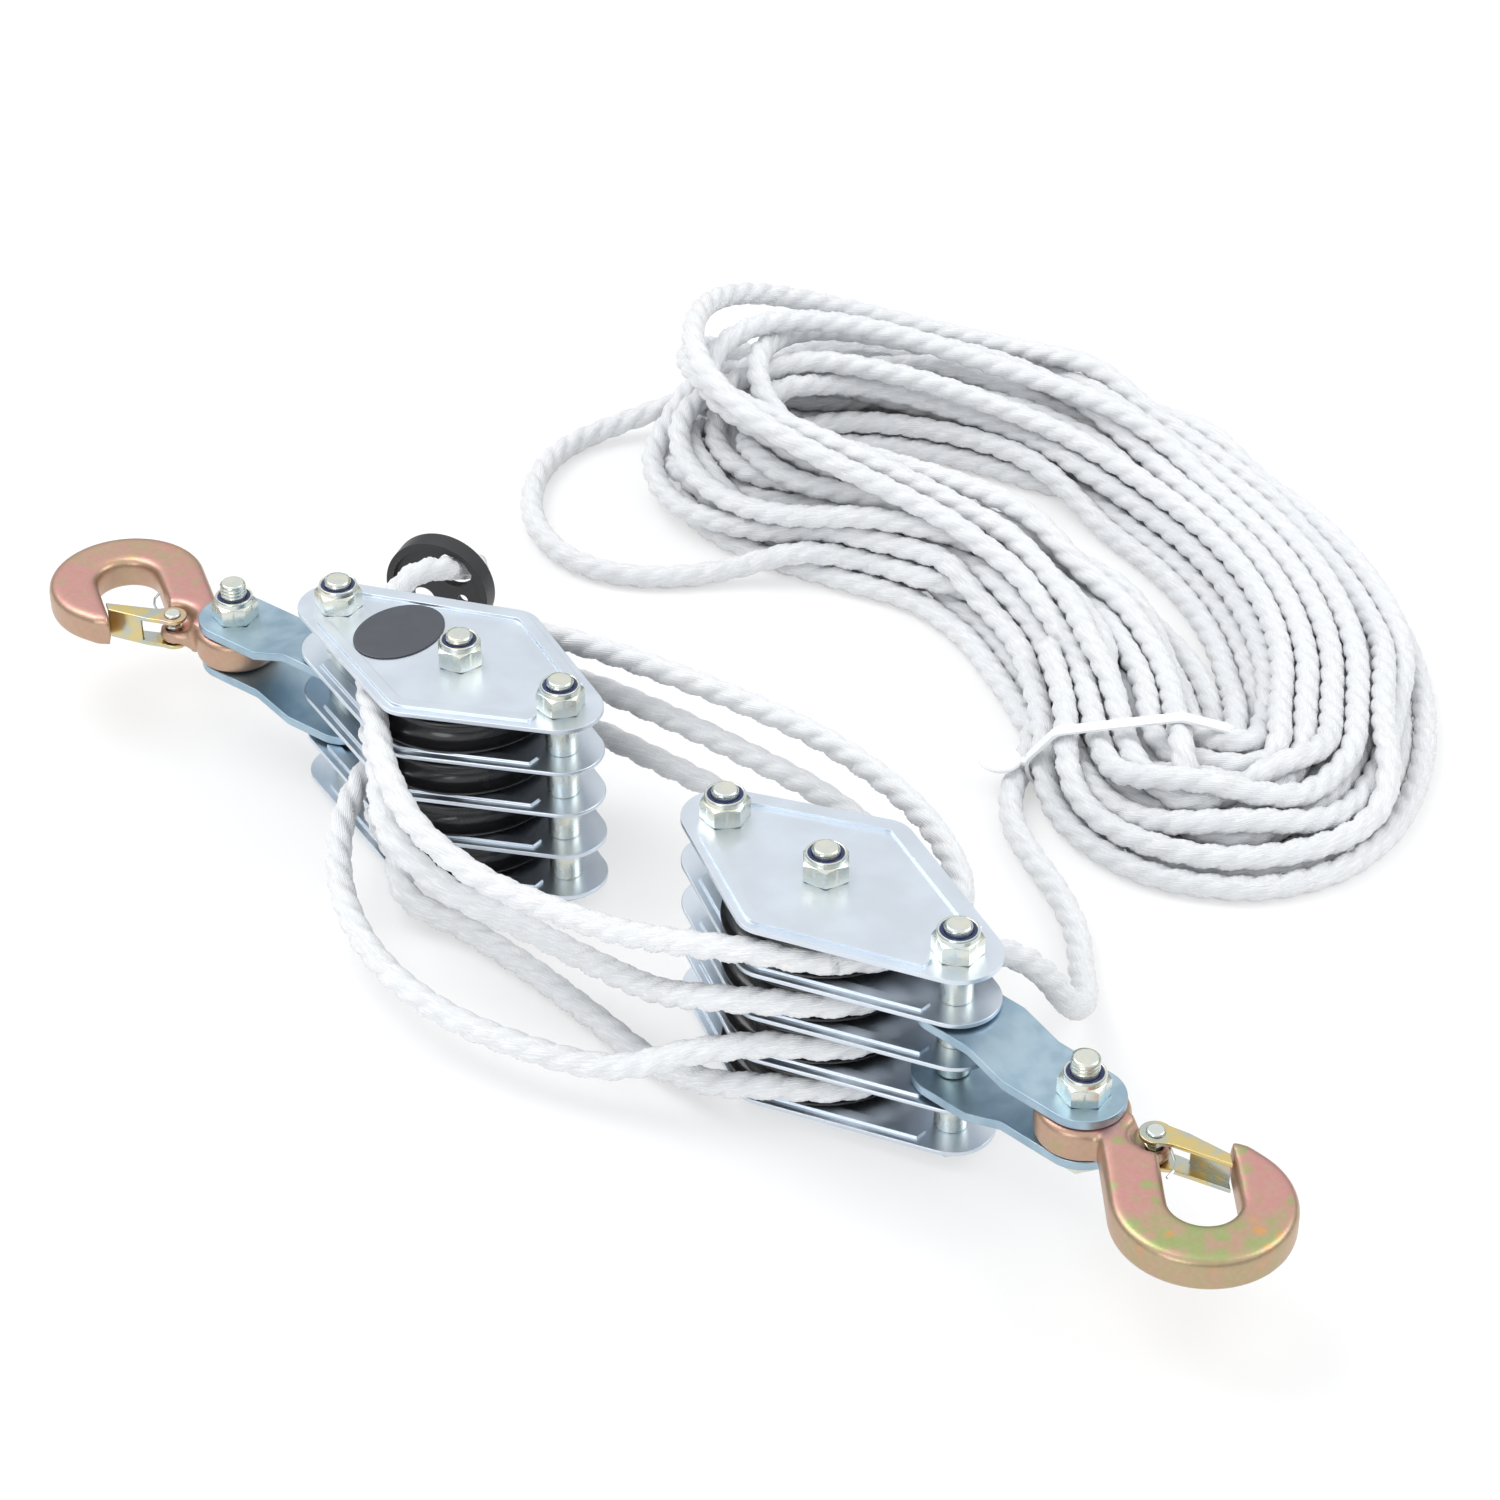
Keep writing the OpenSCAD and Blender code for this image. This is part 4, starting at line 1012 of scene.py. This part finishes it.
class HOIST_OT_hank(bpy.types.Operator):
    """Lets the hauling part and the hank fall into place, and ties the hank"""
    bl_idname = "hoist.hank"
    bl_label = "Hauling part, hank and tie"

    def execute(self, context):
        line, count = hank_line()
        fine = smooth_line(line, HAUL_STEP)
        obj = laid_rope("hauling_rope", fine, 7.0)
        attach(obj, "fixed_block")
        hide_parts("hauling_tail", "rope_hank")
        tie = self.tie(line[count:])
        declare_cord(obj, fine, far_end="bare", lay="coiled", with_pieces=[tie])
        return {"FINISHED"}

    def tie(self, line):
        """A flat band round all the cords of the near run, with a round tab at its end."""
        heading = HANK_HEADING - BEND
        middle = hank_place(HANK_HALF + HANK_RUN, -(FOLD_R + HANK_HALF) / 2)
        u = np.array([math.cos(heading), math.sin(heading)])
        v = np.array([-math.sin(heading), math.cos(heading)])
        verts = []

        def add(along, across, z):
            x, y = middle + u * along + v * across + SHIFT[:2]
            verts.append((x * MM, y * MM, z * MM))

        rel = line[:, :2] - middle
        s, c = rel @ u, rel @ v
        near = (np.abs(s) < TIED_LONG) & (np.abs(c) < TIED_WIDE)
        ring = self.tie_ring(hull(np.column_stack([c[near], line[near, 2]])))
        centre = ring.mean(axis=0)
        for q in ring:
            out = (q - centre) / np.linalg.norm(q - centre)
            for along, up in flat_bar(TIE_HALF):
                r = q + out * up
                add(along, r[0], max(r[1], 0.1))
        total = 4 * len(ring)
        faces = [tuple(q % total for q in face) for face in ring_walls(0, len(ring) + 1, 4)]

        low = ring[:, 0].min()
        tab_z = ring[np.argmin(ring[:, 0]), 1]
        neck = low - TIE_THICK - 3.0
        start = len(verts)
        for level, inset in ((0, TAB_EDGE), (TAB_EDGE, 0), (TAB_THICK - TAB_EDGE, 0),
                             (TAB_THICK, TAB_EDGE)):
            for k in range(TAB_SIDES):
                w = 2 * math.pi * k / TAB_SIDES
                r = TAB_R - inset
                add(r * math.sin(w), neck - TAB_R + 2.0 + r * math.cos(w),
                    tab_z - TAB_THICK / 2 + level)
        faces += ring_walls(start, 4, TAB_SIDES)
        faces.append(tuple(start + k for k in reversed(range(TAB_SIDES))))
        faces.append(tuple(start + 3 * TAB_SIDES + k for k in range(TAB_SIDES)))
        begin = len(verts)
        for across in (low - TIE_THICK * 0.5, neck):
            for along, up in flat_bar(NECK_HALF):
                add(along, across, tab_z - TIE_THICK / 2 + up)
        faces += ring_walls(begin, 2, 4)
        tie = piece("hank_band", verts, faces, "tie_clear", smooth=False)
        round_edges(tie, "edge", 0.0003, 2, 50)
        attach(tie, "fixed_block")
        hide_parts("hank_tie")
        return tie

    def tie_ring(self, outline):
        """Inner line of the band, one rope's radius outside the outline of the rope's middles."""
        away = bpy.context.scene.hoist_rope.diameter / MM / 2 + TIE_GAP
        ring = []
        for i in range(len(outline)):
            a, b, d = outline[i - 1], outline[i], outline[(i + 1) % len(outline)]
            first, second = outward(a, b), outward(b, d)
            turn = math.atan2(first[0] * second[1] - first[1] * second[0], first @ second)
            for k in range(4):
                w = math.atan2(first[1], first[0]) + turn * k / 3
                ring.append(b + away * np.array([math.cos(w), math.sin(w)]))
        ring = np.array(ring)
        ring[:, 1] = np.maximum(ring[:, 1], 0.15)
        return ring


class HOIST_OT_plates(bpy.types.Operator):
    """Finishes the side plates and the straps in clear zinc"""
    bl_idname = "hoist.plates"
    bl_label = "Plates and straps"

    def execute(self, context):
        edge = context.scene.hoist_metal.edge
        for block in BLOCKS:
            for n in range(1, 6):
                dress(f"{block}_plate_{n}", "plate_zinc", edge)
            for side in ("upper", "lower"):
                dress(f"{block}_{side}_strap", "strap_zinc", edge)
        return {"FINISHED"}


class HOIST_OT_sheaves(bpy.types.Operator):
    """Finishes the eight sheaves and the stopper disc in black plastic"""
    bl_idname = "hoist.sheaves"
    bl_label = "Sheaves and stopper"

    def execute(self, context):
        for block in BLOCKS:
            for n in range(1, 5):
                dress(f"{block}_sheave_{n}", "sheave_black", 0.0003, angle=25)
        dress("stopper_disc", "disc_black", 0.0007, 3)
        return {"FINISHED"}


# Nut: half across flats, height of the hexagon, whole height and slope of its corners
NUT_HALF, HEX_H, NUT_H, NUT_SLOPE, NUT_SIDES = 6.5, 6.0, 8.0, math.radians(28), 72
# Rolled collar above the hexagon: radius, and height above the nut's foot
COLLAR = ((6.42, HEX_H + 0.05), (6.2, HEX_H + 0.2), (6.15, NUT_H - 0.7), (6.05, NUT_H - 0.3),
          (5.85, NUT_H - 0.05), (5.6, NUT_H), (5.35, NUT_H - 0.08), (5.2, NUT_H - 0.3),
          (5.25, NUT_H - 0.9), (4.15, NUT_H - 1.7))
# Thread: pitch, points per turn, and its profile as radius, share of the crest and height
PITCH, THREAD_SIDES, CREST = 1.25, 40, 0.17
THREAD = ((3.98, 0.0, 0.0), (4.0, 1.0, 0.42), (4.0, 1.0, 0.62), (3.98, 0.0, 1.04))
# Heights of the studs' bare ends above the nuts, gap under a nut, and edges of the turned parts
STUD, HOOK_STUD, NUT_GAP = (77.0, 79.2), (53.9, 59.25), 0.02
BOLT_EDGE, SMALL_EDGE = 0.0002, 0.0003


def nut_rings(z0):
    """Rings of a chamfered lock nut with a rolled collar, as radius and height per angle."""
    angles = [2 * math.pi * k / NUT_SIDES for k in range(NUT_SIDES)]
    flat, half_flat = math.pi / 3, math.pi / 6
    hexes = [NUT_HALF / math.cos((a + half_flat) % flat - half_flat) for a in angles]
    low = [max(0.0, r - NUT_HALF * 1.005) * math.tan(NUT_SLOPE) for r in hexes]
    rows = [
        [(NUT_HALF * 0.98, z0) for _ in angles],
        [(r - 0.02, z0 + d * 0.6) for r, d in zip(hexes, low)],
        [(r, z0 + d * 0.6 + 0.15) for r, d in zip(hexes, low)],
        [(r, z0 + HEX_H - d - 0.15) for r, d in zip(hexes, low)],
        [(r - 0.08, z0 + HEX_H - d) for r, d in zip(hexes, low)],
    ]
    rows += [[(r, z0 + z) for _ in angles] for r, z in COLLAR]
    return angles, rows


class HOIST_OT_fasteners(bpy.types.Operator):
    """Makes the lock nuts and threads, and finishes bolts, spacers and nylon rings"""
    bl_idname = "hoist.fasteners"
    bl_label = "Bolts, nuts and spacers"

    def nut(self, name, block, places, z0, turn):
        """Lock nuts on a block's bolts, each turned a little further."""
        angles, rows = nut_rings(z0)
        verts, faces = [], []
        for count, x in enumerate(places):
            base = len(verts)
            twist = turn + 0.4 * count
            for row in rows:
                for a, (r, z) in zip(angles, row):
                    p = block_point(block, x + r * math.cos(a + twist), r * math.sin(a + twist), z)
                    verts.append(in_frame(p))
            faces += ring_walls(base, len(rows), NUT_SIDES)
        obj = piece(name, verts, faces, "bolt_zinc")
        obj.data.set_sharp_from_angle(angle=NUT_SLOPE)
        return obj

    def thread(self, name, block, places, low, high):
        """A raised helical thread round each stud."""
        verts, faces = [], []
        for x in places:
            base = len(verts)
            total = int((high - low - 0.9) / PITCH * THREAD_SIDES)
            for k in range(total + 1):
                a = 2 * math.pi * k / THREAD_SIDES
                z = low + 0.1 + PITCH * k / THREAD_SIDES
                fade = min(1.0, k / 10, (total - k) / 10)
                for radius, share, rise in THREAD:
                    r = radius + share * CREST * fade
                    p = block_point(block, x + r * math.cos(a), r * math.sin(a), z + rise * 0.8)
                    verts.append(in_frame(p))
            for k in range(total):
                for q in range(3):
                    a = base + k * 4 + q
                    faces.append((a, a + 4, a + 5, a + 1))
                a = base + k * 4
                faces.append((a + 3, a + 7, a + 4, a))
            faces.append((base, base + 1, base + 2, base + 3))
            end = base + total * 4
            faces.append((end + 3, end + 2, end + 1, end))
        return piece(name, verts, faces, "bolt_zinc", smooth=False)

    def execute(self, context):
        for block in BLOCKS:
            for node in ("axle_bolt", "end_bolts", "hook_bolt"):
                dress(f"{block}_{node}", "bolt_zinc", BOLT_EDGE)
            for node in ("hook_end_spacers", "rope_end_spacers", "latch_rivet"):
                dress(f"{block}_{node}", "bolt_zinc", SMALL_EDGE)
            for node in ("nut_inserts", "hook_nut_insert"):
                dress(f"{block}_{node}", "nylon_navy", SMALL_EDGE)
            nuts = self.nut(f"{block}_lock_nut_set", block, BOLT_XS, BLOCK_TOP + NUT_GAP, 0.35)
            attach(nuts, BODY[block])
            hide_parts(f"{block}_lock_nuts")
            hook_nut = self.nut(
                f"{block}_hook_lock_nut", block, (HOOK_BOLT_X,), STRAP_TOP + NUT_GAP, 0.2)
            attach(hook_nut, f"{block}_shackle")
            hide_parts(f"{block}_hook_nut")
            threads = self.thread(f"{block}_stud_threads", block, BOLT_XS, *STUD)
            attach(threads, BODY[block])
            threads = self.thread(
                f"{block}_hook_stud_thread", block, (HOOK_BOLT_X,), *HOOK_STUD)
            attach(threads, f"{block}_shackle")
        return {"FINISHED"}


# Hooks: radius of the forged edges, size of the voxels that close them, and rounds of smoothing
HOOK_ROUND, HOOK_VOXEL, HOOK_SMOOTHING = 0.0026, 0.0006, 14


class HOIST_OT_hooks(bpy.types.Operator):
    """Rounds the forged hooks and finishes them in yellow chromate"""
    bl_idname = "hoist.hooks"
    bl_label = "Hooks"

    def execute(self, context):
        for block in BLOCKS:
            obj = dress(f"{block}_hook", f"{block}_hook")
            obj.modifiers.new("join", "WELD").merge_threshold = JOIN
            round_edges(obj, "round", HOOK_ROUND, 4, 50).use_clamp_overlap = False
            remesh = obj.modifiers.new("forge", "REMESH")
            remesh.mode = "VOXEL"
            remesh.voxel_size = HOOK_VOXEL
            remesh.use_smooth_shade = True
            soften = obj.modifiers.new("soften", "SMOOTH")
            soften.factor = 0.5
            soften.iterations = HOOK_SMOOTHING
        return {"FINISHED"}


class HOIST_OT_latches(bpy.types.Operator):
    """Finishes the sheet latches and their springs"""
    bl_idname = "hoist.latches"
    bl_label = "Latches and springs"

    def execute(self, context):
        for block in BLOCKS:
            dress(f"{block}_latch", "latch_yellow", 0.00035, angle=25)
            obj = dress(f"{block}_latch_spring", "spring_steel")
            smooth_faces(obj.data)
        return {"FINISHED"}


# Label: place of its middle along the block, half length and half width, points round it, and its
# edge as shares of those and heights above the plate
LABEL_X, LABEL_LONG, LABEL_WIDE, LABEL_SIDES = 25.0, 16.0, 12.5, 72
LABEL_EDGE = ((0.98, 0.05), (1.0, 0.2), (1.0, 0.42), (0.975, 0.55), (0.93, 0.56))


class HOIST_OT_label(bpy.types.Operator):
    """Finishes the plain oval label"""
    bl_idname = "hoist.label"
    bl_label = "Label"

    def execute(self, context):
        verts = []
        for share, z in LABEL_EDGE:
            for k in range(LABEL_SIDES):
                a = 2 * math.pi * k / LABEL_SIDES
                p = block_point("travel", LABEL_X + LABEL_WIDE * share * math.cos(a),
                                LABEL_LONG * share * math.sin(a), BLOCK_TOP + z)
                verts.append(in_frame(p))
        faces = ring_walls(0, len(LABEL_EDGE), LABEL_SIDES)
        faces.append(tuple(reversed(range(LABEL_SIDES))))
        faces.append(tuple((len(LABEL_EDGE) - 1) * LABEL_SIDES + k for k in range(LABEL_SIDES)))
        label = piece("oval_label", verts, faces, "label_slate")
        label.data.set_sharp_from_angle(angle=math.radians(60))
        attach(label, "travelling_block")
        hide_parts("label_plate")
        return {"FINISHED"}


class HOIST_PT_panel(bpy.types.Panel):
    """Lists the hoist's steps in the sidebar"""
    bl_idname = "HOIST_PT_panel"
    bl_label = "Rope Hoist"
    bl_space_type = "VIEW_3D"
    bl_region_type = "UI"
    bl_category = "Rope Hoist"

    def draw(self, context):
        for step in STEPS:
            self.layout.operator(step.bl_idname)


STEPS = (
    HOIST_OT_stage, HOIST_OT_strands, HOIST_OT_dead_end, HOIST_OT_hank, HOIST_OT_plates,
    HOIST_OT_sheaves, HOIST_OT_fasteners, HOIST_OT_hooks, HOIST_OT_latches, HOIST_OT_label,
)
CLASSES = (RopeSettings, MetalSettings, StageSettings) + STEPS + (HOIST_PT_panel,)


def register():
    for item in CLASSES:
        bpy.utils.register_class(item)
    bpy.types.Scene.hoist_rope = bpy.props.PointerProperty(type=RopeSettings)
    bpy.types.Scene.hoist_metal = bpy.props.PointerProperty(type=MetalSettings)
    bpy.types.Scene.hoist_stage = bpy.props.PointerProperty(type=StageSettings)


def unregister():
    del bpy.types.Scene.hoist_stage
    del bpy.types.Scene.hoist_metal
    del bpy.types.Scene.hoist_rope
    for item in reversed(CLASSES):
        bpy.utils.unregister_class(item)


def main():
    register()
    bpy.ops.hoist.stage()
    bpy.ops.hoist.strands()
    bpy.ops.hoist.dead_end()
    bpy.ops.hoist.hank()
    bpy.ops.hoist.plates()
    bpy.ops.hoist.sheaves()
    bpy.ops.hoist.fasteners()
    bpy.ops.hoist.hooks()
    bpy.ops.hoist.latches()
    bpy.ops.hoist.label()


if __name__ == "__main__":
    main()
